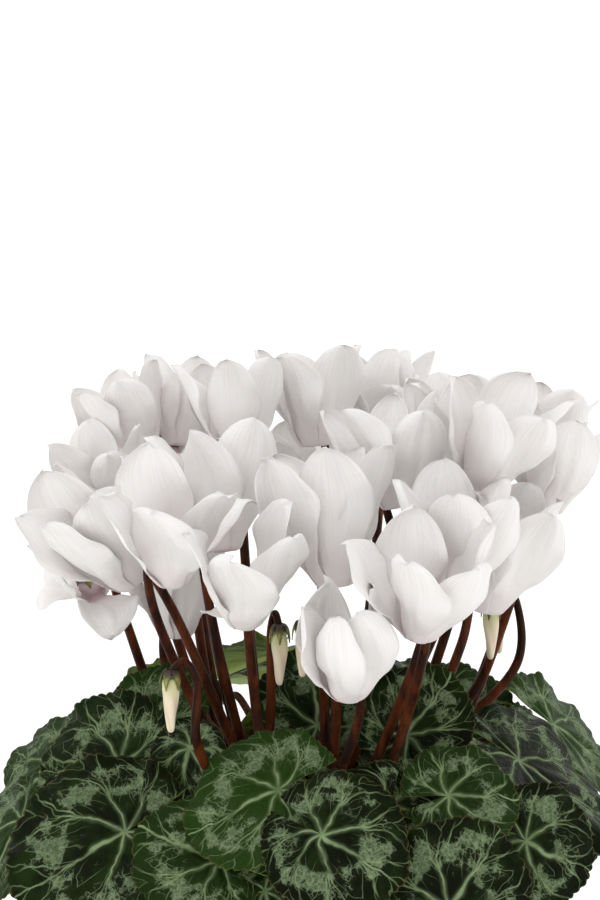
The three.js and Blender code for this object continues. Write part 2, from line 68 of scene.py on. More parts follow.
def linear(hexColor):
    # sRGB hex to linear: c / 12.92 below 0.04045, else ((c + 0.055) / 1.055) ^ 2.4
    parts = [int(hexColor[i:i + 2], 16) / 255 for i in (1, 3, 5)]
    return tuple(c / 12.92 if c <= 0.04045 else ((c + 0.055) / 1.055) ** 2.4 for c in parts) + (1,)


def vary(item, trait):
    # one fixed number from -1 to 1 for each pair: 2 fract(43758.5453 sin(12.9898 item + 78.233 trait)) - 1
    wave = math.sin(item * 12.9898 + trait * 78.233) * 43758.5453
    return 2 * (wave - math.floor(wave)) - 1


def smooth(share):
    # s^2 (3 - 2 s), held to 0..1
    held = np.clip(share, 0, 1)
    return held * held * (3 - 2 * held)


def unit(vector):
    # each vector over its own length
    vector = np.asarray(vector, float)
    return vector / np.maximum(np.linalg.norm(vector, axis=-1, keepdims=True), 1e-12)


def gridFaces(rows, columns, start=0, flip=False):
    # quads of a rows x columns grid of points
    i, j = np.meshgrid(np.arange(rows - 1), np.arange(columns - 1), indexing="ij")
    a = start + i * columns + j
    quads = np.stack([a, a + 1, a + columns + 1, a + columns], -1).reshape(-1, 4)
    return quads[:, ::-1] if flip else quads


def weld(mesh):
    # makes points nearer than 0.002 mm one, so that poles and seams close
    shell = bmesh.new()
    shell.from_mesh(mesh)
    bmesh.ops.remove_doubles(shell, verts=shell.verts, dist=2e-6)
    shell.to_mesh(mesh)
    shell.free()


def addPiece(name, points, faces, material, cadNode, fields=None, uv=None):
    # turns millimetres to metres, closes poles and seams, shades smooth and takes the CAD node's place
    mesh = bpy.data.meshes.new(name)
    mesh.from_pydata((np.asarray(points, float) * mm).tolist(), [], np.asarray(faces).tolist())
    for field, values in (fields or {}).items():
        layer = mesh.attributes.new(field, "FLOAT", "POINT")
        layer.data.foreach_set("value", np.asarray(values, np.float32).ravel())
    if uv is not None:
        corner = np.empty(len(mesh.loops), int)
        mesh.loops.foreach_get("vertex_index", corner)
        layer = mesh.uv_layers.new(name="surface")
        layer.data.foreach_set("uv", np.asarray(uv, np.float32)[corner].ravel())
    mesh.materials.append(material)
    weld(mesh)
    mesh.polygons.foreach_set("use_smooth", np.full(len(mesh.polygons), True))
    mesh.validate()
    piece = bpy.data.objects.new(name, mesh)
    bpy.context.scene.collection.objects.link(piece)
    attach(piece, "root")
    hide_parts(cadNode)
    return piece


def gridNormals(points):
    # unit cross product of the two finite differences; a pole row takes its neighbour's
    along = np.gradient(points, axis=1)
    up = np.gradient(points, axis=0)
    normals = np.cross(along, up)
    size = np.linalg.norm(normals, axis=-1)
    for row, near in ((0, 1), (-1, -2)):
        if size[row].max() < 1e-6 * max(size.max(), 1e-9):
            normals[row] = normals[near].mean(axis=0)
    return unit(normals)


def sheetShell(points, thickness):
    # both faces half a thickness off the middle surface, joined by a strip round the rim
    rows, columns, _ = points.shape
    normals = gridNormals(points)
    half = (thickness / 2)[..., None] * normals
    corners = np.concatenate([(points + half).reshape(-1, 3), (points - half).reshape(-1, 3)])
    count = rows * columns
    index = np.arange(count).reshape(rows, columns)
    rim = np.concatenate([index[0, :], index[1:, -1], index[-1, -2::-1], index[-2::-1, 0]])
    a = rim[:-1]
    b = rim[1:]
    edge = np.stack([b, a, a + count, b + count], -1)
    front = gridFaces(rows, columns)
    back = gridFaces(rows, columns, count, True)
    return corners, np.concatenate([front, back, edge])


def gather(shells):
    # several (points, faces) pairs as one, with the face numbers moved up
    points = []
    faces = []
    start = 0
    for corners, quads in shells:
        points.append(corners)
        faces.append(quads + start)
        start += len(corners)
    return np.concatenate(points), np.concatenate(faces)


def turned(profile, sides, axes=None, wobble=None):
    # profile [radius, height] turned about the axis: (r cos t, r sin t, z)
    profile = np.asarray(profile, float)
    angle = np.linspace(0, 2 * np.pi, sides + 1)
    radius = np.repeat(profile[:, :1], sides + 1, axis=1)
    if wobble is not None:
        radius = radius * wobble(profile[:, 1:2], angle[None, :])
    height = np.repeat(profile[:, 1:], sides + 1, axis=1)
    points = np.stack([radius * np.cos(angle), radius * np.sin(angle), height], -1)
    points[:, -1] = points[:, 0]
    if axes is not None:
        base, side, across, up = axes
        points = base + points[..., :1] * side + points[..., 1:2] * across + points[..., 2:] * up
    return points.reshape(-1, 3), gridFaces(len(profile), sides + 1)


def smoothPath(through, steps):
    # centripetal Catmull-Rom curve through the points, with `steps` pieces between two of them
    p = np.asarray(through, float)
    p = np.concatenate([[2 * p[0] - p[1]], p, [2 * p[-1] - p[-2]]])
    gap = np.maximum(np.linalg.norm(np.diff(p, axis=0), axis=1), 1e-4) ** 0.5
    d0, d1, d2 = gap[:-2, None], gap[1:-1, None], gap[2:, None]
    p0, p1, p2, p3 = p[:-3], p[1:-2], p[2:-1], p[3:]
    m1 = ((p1 - p0) / d0 - (p2 - p0) / (d0 + d1) + (p2 - p1) / d1) * d1
    m2 = ((p2 - p1) / d1 - (p3 - p1) / (d1 + d2) + (p3 - p2) / d2) * d1
    t = (np.arange(steps) / steps)[None, :, None]
    a, b, m, n = p1[:, None], p2[:, None], m1[:, None], m2[:, None]
    curve = (2 * a - 2 * b + m + n) * t**3 + (-3 * a + 3 * b - 2 * m - n) * t**2 + m * t + a
    return np.concatenate([curve.reshape(-1, 3), p[-2:-1]])


def tube(path, radii, sides, steady):
    # a ring of radius r(s) square to the path at each point; the path never runs along `steady`
    tangent = unit(np.gradient(path, axis=0))
    out = unit(np.cross(tangent, steady))
    other = np.cross(tangent, out)
    angle = np.linspace(0, 2 * np.pi, sides + 1)
    ring = out[:, None] * np.cos(angle)[None, :, None] + other[:, None] * np.sin(angle)[None, :, None]
    points = path[:, None] + ring * np.asarray(radii)[:, None, None]
    points[:, -1] = points[:, 0]
    points = np.concatenate([np.repeat(path[:1, None], sides + 1, 1), points,
                             np.repeat(path[-1:, None], sides + 1, 1)])
    return points.reshape(-1, 3), gridFaces(len(path) + 2, sides + 1)


def node(tree, kind, inputs=()):
    # adds one shader node of a kind, which is its type, settings and used output; inputs, by place or by
    # name, are numbers, hex colours or the sockets that feed it; gives back the socket of that output
    word, settings, output = kind
    made = tree.nodes.new("ShaderNode" + word)
    for key, value in settings.items():
        setattr(made, key, value)
    fed = inputs if isinstance(inputs, dict) else dict(enumerate(inputs))
    for key, value in fed.items():
        if isinstance(value, bpy.types.NodeSocket):
            tree.links.new(value, made.inputs[key])
        else:
            made.inputs[key].default_value = linear(value) if isinstance(value, str) else value
    return made.outputs[output]


def begin(name, values):
    # a new material with the uniform values of its Principled shader
    material = bpy.data.materials.new(name)
    material.use_nodes = True
    surface = material.node_tree.nodes["Principled BSDF"]
    for key, value in values.items():
        surface.inputs[key].default_value = value
    return material, material.node_tree, surface


# nodes that recur: type, settings and the output that is used
times = ("Math", {"operation": "MULTIPLY"}, 0)
plus = ("Math", {"operation": "ADD"}, 0)
less = ("Math", {"operation": "SUBTRACT"}, 0)
over = ("Math", {"operation": "DIVIDE"}, 0)
larger = ("Math", {"operation": "MAXIMUM"}, 0)
fold = ("Math", {"operation": "PINGPONG"}, 0)
absolute = ("Math", {"operation": "ABSOLUTE"}, 0)
soft = ("MapRange", {"interpolation_type": "SMOOTHSTEP"}, 0)    # value, its two ends, what they turn to
blend = ("Mix", {"data_type": "RGBA"}, 2)                       # share at 0, colours at 6 and 7
noisy = ("TexNoise", {}, 0)
stretch = ("Mapping", {}, 0)
bumps = ("Bump", {}, 0)
placed = ("TexCoord", {}, "Object")
onSurface = ("UVMap", {"uv_map": "surface"}, 0)


petalLook = {
    "white": "#efecea",
    "paintedShade": "#e7e2df",       # painted shade on the lower part of the petal
    "line": "#ccc5c5",
    "blush": "#cdb6ba",       # thin flush inside the mouth
    "fold": "#e6dddb",
    "lines": (84, 1.8, 1),    # how often the line pattern repeats across and along a petal
    "striae": 0.18,           # relief of the lines, mm
    "crumple": 7,             # size of the slow unevenness, mm
    "crumpleShare": 3.6,      # its height beside the lines'
    "surface": {"Roughness": 0.55, "Specular IOR Level": 0.3, "Sheen Weight": 0.08, "Subsurface Weight": 0.2,
                "Subsurface Radius": (1, 0.9, 0.8), "Subsurface Scale": 0.001},
}


def petalMaterial():
    # matt satin white petals with fine lengthwise lines, painted shade low down and a breath of pink in the
    # mouth
    material, tree, surface = begin("petal_satin_white", petalLook["surface"])
    uv = node(tree, onSurface)
    along = node(tree, ("SeparateXYZ", {}, "Y"), [uv])
    # the lines are noise over (u, v), drawn out along the petal
    drawn = node(tree, stretch, {"Vector": uv, "Scale": petalLook["lines"]})
    grain = {"Vector": drawn, "Scale": 1, "Detail": 3, "Roughness": 0.6, "Distortion": 0.1}
    lines = node(tree, noisy, grain)
    # the lower part of each petal takes a painted shade, and turns white further up
    folded = node(tree, soft, [along, 0, 0.35])
    colour = node(tree, blend, {0: folded, 6: petalLook["fold"], 7: petalLook["paintedShade"]})
    raised = node(tree, soft, [along, 0.1, 0.7])
    inside = node(tree, soft, [along, 0.02, -0.12])
    strength = node(tree, soft, [along, 0.1, 1, 0.1, 0.3])
    strands = node(tree, times, [node(tree, soft, [lines, 0.45, 0.68]), strength])
    for share, coat in ((raised, "white"), (inside, "blush"), (strands, "line")):
        colour = node(tree, blend, {0: share, 6: colour, 7: petalLook[coat]})
    tree.links.new(colour, surface.inputs["Base Color"])
    at = node(tree, placed)
    size = 1 / (petalLook["crumple"] * mm)
    crumple = node(tree, noisy, {"Vector": at, "Scale": size, "Detail": 3, "Roughness": 0.55})
    crumple = node(tree, times, [crumple, petalLook["crumpleShare"]])
    relief = node(tree, plus, [lines, crumple])
    depth = petalLook["striae"] * mm
    bump = node(tree, bumps, {"Height": relief, "Distance": depth, "Strength": 0.9})
    tree.links.new(bump, surface.inputs["Normal"])
    return material


budLook = {
    "cream": "#e8d9c0",
    "green": "#c3c98c",
    "line": "#c9b592",
    "surface": {"Roughness": 0.5, "Subsurface Weight": 0.2, "Subsurface Scale": 0.001},
}


def budMaterial():
    # satin cream furled petals, greener at the calyx, with the spiral seams a little darker
    material, tree, surface = begin("bud_satin_cream", budLook["surface"])
    along = node(tree, ("Attribute", {"attribute_name": "along"}, "Fac"))
    seam = node(tree, ("Attribute", {"attribute_name": "seam"}, "Fac"))
    greener = node(tree, soft, [along, 0.55, 1])
    colour = node(tree, blend, {0: greener, 6: budLook["cream"], 7: budLook["green"]})
    seamed = node(tree, times, [seam, 0.45])
    colour = node(tree, blend, {0: seamed, 6: colour, 7: budLook["line"]})
    tree.links.new(colour, surface.inputs["Base Color"])
    return material


stalkLook = {
    "dark": "#240c03",
    "light": "#5a2a0e",
    "green": "#46320f",       # leaf stalks turn greener towards the blade
    "mottle": 7,              # mm, and four times as long along the stalk
    "skin": 1.1,              # mm, grain of the skin
    "relief": 0.12,           # mm
    "surface": {"Roughness": 0.4, "IOR": 1.2, "Subsurface Weight": 0.12, "Subsurface Scale": 0.001},
}


def stalkMaterial():
    # fleshy red-brown stalks with a soft wet gloss and faint lengthwise mottling
    material, tree, surface = begin("stalk_red_brown", stalkLook["surface"])
    at = node(tree, placed)
    green = node(tree, ("Attribute", {"attribute_name": "green"}, "Fac"))
    drawn = node(tree, stretch, {"Vector": at, "Scale": (1, 1, 0.25)})
    size = 1 / (stalkLook["mottle"] * mm)
    mottle = node(tree, noisy, {"Vector": drawn, "Scale": size, "Detail": 4, "Roughness": 0.6})
    share = node(tree, soft, [mottle, 0.38, 0.68])
    colour = node(tree, blend, {0: share, 6: stalkLook["dark"], 7: stalkLook["light"]})
    greener = node(tree, times, [green, 0.75])
    colour = node(tree, blend, {0: greener, 6: colour, 7: stalkLook["green"]})
    tree.links.new(colour, surface.inputs["Base Color"])
    drawn = node(tree, stretch, {"Vector": at, "Scale": (1, 1, 0.3)})
    size = 1 / (stalkLook["skin"] * mm)
    skin = node(tree, noisy, {"Vector": drawn, "Scale": size, "Detail": 2, "Roughness": 0.5})
    bump = node(tree, bumps, {"Height": skin, "Distance": stalkLook["relief"] * mm, "Strength": 1})
    tree.links.new(bump, surface.inputs["Normal"])
    return material


calyxLook = {
    "dark": "#33231a",
    "green": "#8d8f45",
    "streak": 1.1,            # mm wide, and five times as long
    "surface": {"Roughness": 0.55},
}


def calyxMaterial():
    # dull dry sepals, brown-black at the stalk and yellow-green with dark streaks towards the points
    material, tree, surface = begin("sepal_brown_green", calyxLook["surface"])
    at = node(tree, placed)
    down = node(tree, ("Attribute", {"attribute_name": "down"}, "Fac"))
    drawn = node(tree, stretch, {"Vector": at, "Scale": (1, 1, 0.2)})
    size = 1 / (calyxLook["streak"] * mm)
    grain = node(tree, noisy, {"Vector": drawn, "Scale": size, "Detail": 3, "Roughness": 0.6})
    streak = node(tree, soft, [grain, 0.42, 0.6])
    streak = node(tree, plus, [node(tree, times, [streak, 0.7]), 0.3])
    lower = node(tree, soft, [down, 0.35, 0.75])
    share = node(tree, times, [lower, streak])
    colour = node(tree, blend, {0: share, 6: calyxLook["dark"], 7: calyxLook["green"]})
    tree.links.new(colour, surface.inputs["Base Color"])
    return material


leafLook = {
    "dark": "#0a1002",
    "mid": "#172708",
    "bright": "#26410f",
    "silver": "#50613f",
    "pale": "#6f7f62",        # the brightest grains of the silver patches
    "vein": "#80946a",
    "net": "#839472",
    "margin": "#4c4527",
    "under": "#8ba24f",
    "underVein": "#a9b56c",
    "relief": 0.7,            # mm
    "veins": 51,              # degrees between two main veins
    "arch": 0.2,              # how far the main veins bend towards the tip
    "wander": 13,             # mm that a vein strays sideways at most
    "fork": 28,               # degrees that a branch leaves its main vein by, per unit of share
    "forkFrom": 0.42,         # share of the reach where the branches start
    "sideVeins": 4.2,         # side veins to a main vein
    "cells": 3.4,             # size of the vein meshes, mm
    "shake": 0.006,           # metres that the meshes are shaken by
    "rough": 0.48,
    "surface": {"IOR": 1.13},
}

# the leaf's noises: size of their features in mm, detail and roughness
leafNoise = {
    "wander": (16, 2, 0.55),
    "stray": (12, 2, 0.55),
    "patch": (9, 4, 0.52),
    "ring": (15, 2, 0.55),
    "grains": (1.3, 3, 0.7),
    "green": (12, 3, 0.55),
    "fading": (8, 2, 0.55),
    "wear": (5, 2, 0.55),
}


def leafMaterial():
    # dark green leathery blades, pale veins from the notch, silver patches between, yellow-green beneath
    material, tree, surface = begin("leaf_marbled_green", leafLook["surface"])
    at = node(tree, placed)
    uv = node(tree, onSurface)
    across = node(tree, ("SeparateXYZ", {}, "X"), [uv])
    share = node(tree, ("SeparateXYZ", {}, "Y"), [uv])
    reach = node(tree, ("Attribute", {"attribute_name": "reach"}, "Fac"))
    tone = node(tree, ("Attribute", {"attribute_name": "tone"}, "Fac"))
    top = node(tree, ("Attribute", {"attribute_name": "side"}, "Fac"))
    noises = {}
    for name, (size, detail, rough) in leafNoise.items():
        grain = {"Vector": at, "Scale": 1 / (size * mm), "Detail": detail, "Roughness": rough}
        noises[name] = node(tree, noisy, grain)
    radian = math.pi / 180
    degrees = node(tree, times, [node(tree, less, [across, 0.5]), 360])

    # sideways wander of the veins in mm, turned to degrees by the reach
    wander = node(tree, less, [noises["wander"], 0.5])
    wander = node(tree, times, [wander, leafLook["wander"]])
    wander = node(tree, over, [wander, node(tree, plus, [reach, 6])])
    wander = node(tree, over, [wander, radian])

    # main veins: angle / (1 - arch share^2), folded about multiples of their spacing, times the reach in mm
    squared = node(tree, times, [share, share])
    arch = node(tree, less, [1, node(tree, times, [squared, leafLook["arch"]])])
    bent = node(tree, plus, [node(tree, over, [degrees, arch]), wander])
    spacing = leafLook["veins"]
    lifted = node(tree, plus, [bent, 14 * spacing])
    folded = node(tree, fold, [lifted, spacing / 2])
    mainGap = node(tree, times, [node(tree, times, [folded, radian]), reach])
    slender = node(tree, less, [1, node(tree, times, [share, 0.62])])
    main = node(tree, soft, [node(tree, over, [mainGap, slender]), 0.85, 0.2])
    main = node(tree, times, [main, node(tree, soft, [share, 0.9, 0.5, 0.1, 0.9])])

    # branches: |folded - fork (share - forkFrom)| degrees off each main vein
    parting = node(tree, less, [share, leafLook["forkFrom"]])
    parting = node(tree, times, [parting, leafLook["fork"]])
    forkGap = node(tree, less, [folded, parting])
    forkGap = node(tree, absolute, [forkGap])
    forkGap = node(tree, times, [node(tree, times, [forkGap, radian]), reach])
    fork = node(tree, soft, [forkGap, 0.75, 0.15])
    starts = node(tree, soft, [share, leafLook["forkFrom"], 0.5])
    ends = node(tree, soft, [share, 0.98, 0.8, 0, 0.7])
    fork = node(tree, times, [fork, node(tree, times, [starts, ends])])

    # the middle rib is broader than the rest
    ribGap = node(tree, absolute, [bent])
    ribGap = node(tree, times, [node(tree, times, [ribGap, radian]), reach])
    rib = node(tree, soft, [node(tree, over, [ribGap, slender]), 1.35, 0.4])

    # side veins: sideVeins share - 0.075 folded, shaken and folded on itself
    oblique = node(tree, times, [share, leafLook["sideVeins"]])
    oblique = node(tree, plus, [oblique, node(tree, times, [folded, -0.075])])
    oblique = node(tree, plus, [oblique, node(tree, times, [noises["stray"], 0.7])])
    sideGap = node(tree, fold, [oblique, 0.5])
    sideGap = node(tree, times, [sideGap, 9])
    sides = node(tree, soft, [sideGap, 0.5, 0.12])
    sides = node(tree, times, [sides, node(tree, soft, [share, 0.3, 0.45])])

    # the finest net: edges of shaken cells
    grain = {"Vector": at, "Scale": 1 / (4 * mm), "Detail": 4, "Roughness": 0.55}
    warp = node(tree, ("TexNoise", {}, "Color"), grain)
    shake = {"Vector": warp, "Scale": leafLook["shake"]}
    push = node(tree, ("VectorMath", {"operation": "SCALE"}, 0), shake)
    shaken = node(tree, ("VectorMath", {"operation": "ADD"}, 0), [at, push])
    mesh = {"Vector": shaken, "Scale": 1 / (leafLook["cells"] * mm)}
    cells = node(tree, ("TexVoronoi", {"feature": "DISTANCE_TO_EDGE"}, "Distance"), mesh)
    line = node(tree, soft, [cells, 0.09, 0.02])

    # silver patches: noise cut off sharply, kept to a ring past mid-blade and off the main veins
    stray = node(tree, times, [node(tree, less, [noises["ring"], 0.5]), 0.5])
    where = node(tree, plus, [share, stray])
    begins = node(tree, soft, [where, 0.36, 0.5])
    ring = node(tree, times, [begins, node(tree, soft, [where, 0.9, 0.76])])
    between = node(tree, soft, [mainGap, 0.8, 1.7])
    zone = node(tree, times, [ring, between])
    gain = node(tree, plus, [0.55, node(tree, times, [ring, 0.45])])
    amount = node(tree, times, [noises["patch"], gain])
    amount = node(tree, plus, [amount, node(tree, times, [tone, 0.02])])
    ragged = node(tree, times, [node(tree, less, [noises["grains"], 0.5]), 0.1])
    amount = node(tree, plus, [amount, ragged])
    silver = node(tree, times, [zone, node(tree, soft, [amount, 0.49, 0.55])])
    haze = node(tree, soft, [noises["patch"], 0.3, 0.6, 0, 0.3])
    haze = node(tree, times, [zone, haze])
    netFrom = node(tree, soft, [where, 0.4, 0.55])
    netZone = node(tree, times, [netFrom, node(tree, soft, [where, 0.98, 0.86])])
    net = node(tree, times, [line, netZone])
    net = node(tree, times, [net, node(tree, soft, [amount, 0.4, 0.5])])

    # the blade's own green, from one leaf to the next as much as within a leaf
    green = node(tree, plus, [noises["green"], node(tree, times, [tone, 0.12])])
    green = node(tree, soft, [green, 0.34, 0.7])
    colour = node(tree, blend, {0: green, 6: leafLook["dark"], 7: leafLook["mid"]})
    fresh = node(tree, times, [node(tree, soft, [tone, 0.35, 1]), 0.55])
    colour = node(tree, blend, {0: fresh, 6: colour, 7: leafLook["bright"]})

    # then haze, patches, net, a wash along the veins, side veins, main veins and the worn margin
    grained = node(tree, soft, [noises["grains"], 0.42, 0.62])
    grained = node(tree, blend, {0: grained, 6: leafLook["silver"], 7: leafLook["pale"]})
    wash = node(tree, soft, [mainGap, 2.2, 0.3])
    along = node(tree, soft, [share, 0.8, 0.2, 0, 0.22])
    veins = node(tree, larger, [main, fork])
    veins = node(tree, larger, [veins, rib])
    fading = node(tree, soft, [noises["fading"], 0.3, 0.62, 0.3, 0.9])
    margin = node(tree, soft, [share, 0.976, 0.992])
    wear = node(tree, soft, [noises["wear"], 0.4, 0.6, 0.15, 0.75])
    coats = [(haze, 0.28, leafLook["silver"]), (silver, 0.74, grained), (net, 0.45, leafLook["net"]),
             (wash, along, leafLook["vein"]), (sides, 0.35, leafLook["vein"]),
             (veins, fading, leafLook["vein"]), (margin, wear, leafLook["margin"])]
    for place, strength, coat in coats:
        much = node(tree, times, [place, strength])
        colour = node(tree, blend, {0: much, 6: colour, 7: coat})
    beneath = node(tree, times, [veins, 0.7])
    below = node(tree, blend, {0: beneath, 6: leafLook["under"], 7: leafLook["underVein"]})
    colour = node(tree, blend, {0: top, 6: below, 7: colour})
    tree.links.new(colour, surface.inputs["Base Color"])

    # relief: the tissue stands in cushions between the veins
    cushion = node(tree, times, [node(tree, soft, [mainGap, 0, 3.5]), 0.6])
    pillow = node(tree, times, [node(tree, soft, [cells, 0, 0.35]), 0.22])
    relief = node(tree, plus, [cushion, pillow])
    relief = node(tree, plus, [relief, node(tree, times, [noises["patch"], 0.2])])
    relief = node(tree, less, [relief, node(tree, times, [sides, 0.15])])
    bump = node(tree, bumps, {"Height": relief, "Distance": leafLook["relief"] * mm, "Strength": 1})
    tree.links.new(bump, surface.inputs["Normal"])
    rough = node(tree, plus, [leafLook["rough"], node(tree, times, [silver, 0.12])])
    tree.links.new(rough, surface.inputs["Roughness"])
    return material


def crumbMaterial(name, dark, light, size, roughness, depth):
    # rough loose crumbs: two browns in grains of `size` mm with a relief of `depth` mm
    material, tree, surface = begin(name, {"Roughness": roughness})
    at = node(tree, placed)
    crumbs = {"Vector": at, "Scale": 1 / (size * mm), "Detail": 6, "Roughness": 0.7}
    grain = node(tree, noisy, crumbs)
    share = node(tree, soft, [grain, 0.36, 0.66])
    colour = node(tree, blend, {0: share, 6: dark, 7: light})
    tree.links.new(colour, surface.inputs["Base Color"])
    bump = node(tree, bumps, {"Height": grain, "Distance": depth * mm, "Strength": 1})
    tree.links.new(bump, surface.inputs["Normal"])
    return material


potLook = {
    "dark": "#935030",
    "light": "#a05a38",
    "cloud": 26,              # mm
    "grain": 1.4,             # mm
    "relief": 0.05,           # mm
    "surface": {"Roughness": 0.58},
}


def potMaterial():
    # matt moulded terracotta-coloured plastic, faintly uneven, like a nursery pot
    material, tree, surface = begin("pot_matt_terracotta", potLook["surface"])
    at = node(tree, placed)
    size = 1 / (potLook["cloud"] * mm)
    cloud = node(tree, noisy, {"Vector": at, "Scale": size, "Detail": 3, "Roughness": 0.55})
    share = node(tree, soft, [cloud, 0.3, 0.7])
    colour = node(tree, blend, {0: share, 6: potLook["dark"], 7: potLook["light"]})
    tree.links.new(colour, surface.inputs["Base Color"])
    size = 1 / (potLook["grain"] * mm)
    grain = node(tree, noisy, {"Vector": at, "Scale": size, "Detail": 3, "Roughness": 0.55})
    bump = node(tree, bumps, {"Height": grain, "Distance": potLook["relief"] * mm, "Strength": 0.6})
    tree.links.new(bump, surface.inputs["Normal"])
    return material


bloomPlaces = [
    {"at": (-73, 57, 283), "turn": 42, "lean": (-0.4, 0.06), "knee": (-2, -5), "size": 0.81},
    {"at": (-58, 70, 283), "turn": 60, "lean": (0.02, 0.66), "knee": (-4, 6), "size": 0.82},
    {"at": (-29, 33, 288), "turn": 88, "lean": (-0.07, 0.22), "knee": (-1, 4), "size": 0.89},
    {"at": (7, 61, 287), "turn": 69, "lean": (-0.08, 0.18), "knee": (6, -1), "size": 0.94},
    {"at": (29, 100, 278), "turn": 118, "lean": (0.15, -0.27), "knee": (-4, -9), "size": 0.86},
    {"at": (42, 126, 280), "turn": 105, "lean": (-0.04, 0.18), "knee": (2, -3), "size": 0.78,
     "petals": {2: {"shift": -1, "twist": 26}, 3: {"shift": 3, "twist": 27}}},
    {"at": (44, -19, 279), "turn": 125, "lean": (-0.21, 0.21), "knee": (-4, -4), "size": 0.95,
     "petals": {2: {"open": (40, 12)}}},
    {"at": (71, 31, 276), "turn": 50, "lean": (-0.06, 0.13), "knee": (-1, 4), "size": 1.02},
    {"at": (78, -31, 290), "turn": 127, "lean": (0.3, -0.21), "knee": (-2, -1), "size": 1.02},
    {"at": (106, 44, 279), "turn": 51, "lean": (0.21, 0.18), "knee": (1, -12), "size": 0.82},
    {"at": (109, -1, 272), "turn": 107, "lean": (0.19, 0.2), "knee": (4, 8), "size": 0.9},
    {"at": (81, -37, 237), "turn": 122, "lean": (0.2, 0.02), "petals": {3: {"twist": 32}}, "size": 1.1},
    {"at": (64, -71, 254), "turn": 148, "lean": (0.07, -0.01), "knee": (-8, -8), "size": 1.05},
    {"at": (50, -101, 246), "turn": 72, "lean": (0.1, -0.3), "knee": (1, 5), "size": 1.05,
     "petals": {1: {"open": (36, 30)}}},
    {"at": (21, -106, 222), "turn": 75, "lean": (-0.1, -0.4), "knee": (-6, 4),
     "open": (38, -28), "twist": 25, "width": 0.86},
    {"at": (15, -64, 256), "turn": 97, "lean": (-0.09, 0.18), "knee": (4, 2), "size": 1.2},
    {"at": (-23, -88, 248), "turn": 86, "lean": (-0.02, -0.4), "size": 1.03, "knee": (0, -2),
     "petals": {0: {"open": (80, 185), "length": 0.7, "sway": -0.9, "width": 0.8},
                1: {"width": 0.95}, 2: {"width": 1.03}}},
    {"at": (-34, -20, 259), "turn": 141, "lean": (-0.11, 0.35), "knee": (3, 1), "size": 1.1},
    {"at": (-54, -71, 261), "turn": 152, "lean": (-0.07, -0.37), "knee": (11, 7), "size": 1.1,
     "petals": {3: {"open": (36, 80), "length": 0.8}}},
    {"at": (-73, -40, 251), "turn": 58, "lean": (-0.62, -0.28), "knee": (13, -4), "size": 1.12},
    {"at": (-93, 0, 234), "turn": 46, "lean": (-0.25, -0.47), "knee": (-7, 11), "size": 0.95,
     "petals": {1: {"open": (68, 110), "length": 0.45}, 3: {"open": (60, 110), "length": 0.6}}},
    {"at": (-84, 32, 263), "turn": 50, "lean": (-0.27, -0.24), "knee": (5, 2), "size": 0.79},
    {"at": (-56, 6, 212), "turn": 117, "lean": (-0.02, 0.05), "knee": (8, 9), "size": 0.9},
    {"at": (-42, 98, 256), "turn": 241, "lean": (0.03, 0.44), "knee": (0, -6), "size": 0.85},
    {"at": (5, 121, 239), "turn": 296, "lean": (-0.08, -0.08), "knee": (-5, -6), "size": 0.85},
    {"at": (73, 84, 255), "turn": 297, "lean": (-0.04, 0.21), "knee": (-7, 5), "size": 0.85},
]

bloom = {
    "length": 50,             # fold to tip
    "halfWidth": 14,
    "fullness": 1.06,         # times it, at the widest place
    "foot": 4.6,              # half width at the fold
    "widest": 0.58,           # share of the length
    "taper": 2.1,             # a larger power keeps a petal broad for longer
    "taperVary": 0.4,
    "blunt": 0.56,            # a larger power makes the tip sharper
    "open": (28, 2),          # heading at the fold and at the tip, degrees from upright
    "twist": 22,              # degrees that the blade turns about its length
    "twistBy": 0.8,           # share of the length where the twist is whole
    "lap": 12,                # degrees that a petal's foot is turned
    "bearings": (50, 115, 180, 245, 310),
    "foldRadius": 2,
    "foldCentre": 6.2,
    "mouth": -0.2,            # v of the row inside the mouth
    "mouthRows": 6,
    "wrap": 37,               # half angle of a foot round the fold
    "ringBy": 0.32,           # share of the length where the foot has left the fold's ring
    "thickness": 0.45,
    "edge": 0.15,
    "freeBy": 0.4,            # share of the length where the waves are whole
    "wave": 1.5,              # of the free edges, mm
    "roll": 1.7,              # slow waves of the whole blade, mm
    "groove": 0.9,            # crease down the middle, mm
    "ribs": 0.12,             # mm
    "flare": 3.5,             # outward turn of the tip, mm
    "flareFrom": 0.55,
    "skew": 0.16,             # sideways pull of the tip, times the half width
    "columns": 21,
    "rows": 28,
    "bow": 0.28,              # hollow of the blade across, times its width
    # what a petal's own draws add at the most, either way
    "shiftVary": 3,           # degrees of its bearing
    "openVary": (4, 6),
    "twistVary": 6,
    "lengthVary": 0.05,       # shares
    "widthVary": 0.07,
    "swayVary": 0.04,
    "bowVary": 0.1,
    "flareVary": 0.7,
    "cup": [(0, 9), (3.6, 8.9), (4.2, 8.2), (4.3, 3.2), (4.8, 2.9), (5.3, 3.2), (5.35, 7), (5.1, 8.6),
            (4.6, 9.2), (0, 9.4)],
    "cupSides": 24,
}


def bloomAxes(place):
    # up = (lean x, lean y, 1), side = (cos turn, sin turn, 0) squared to up, across = up x side
    lean = place.get("lean", (0, 0))
    turn = math.radians(place["turn"])
    up = unit((lean[0], lean[1], 1))
    side = np.array([math.cos(turn), math.sin(turn), 0])
    side = unit(side - up * side.dot(up))
    return side, np.cross(up, side), up


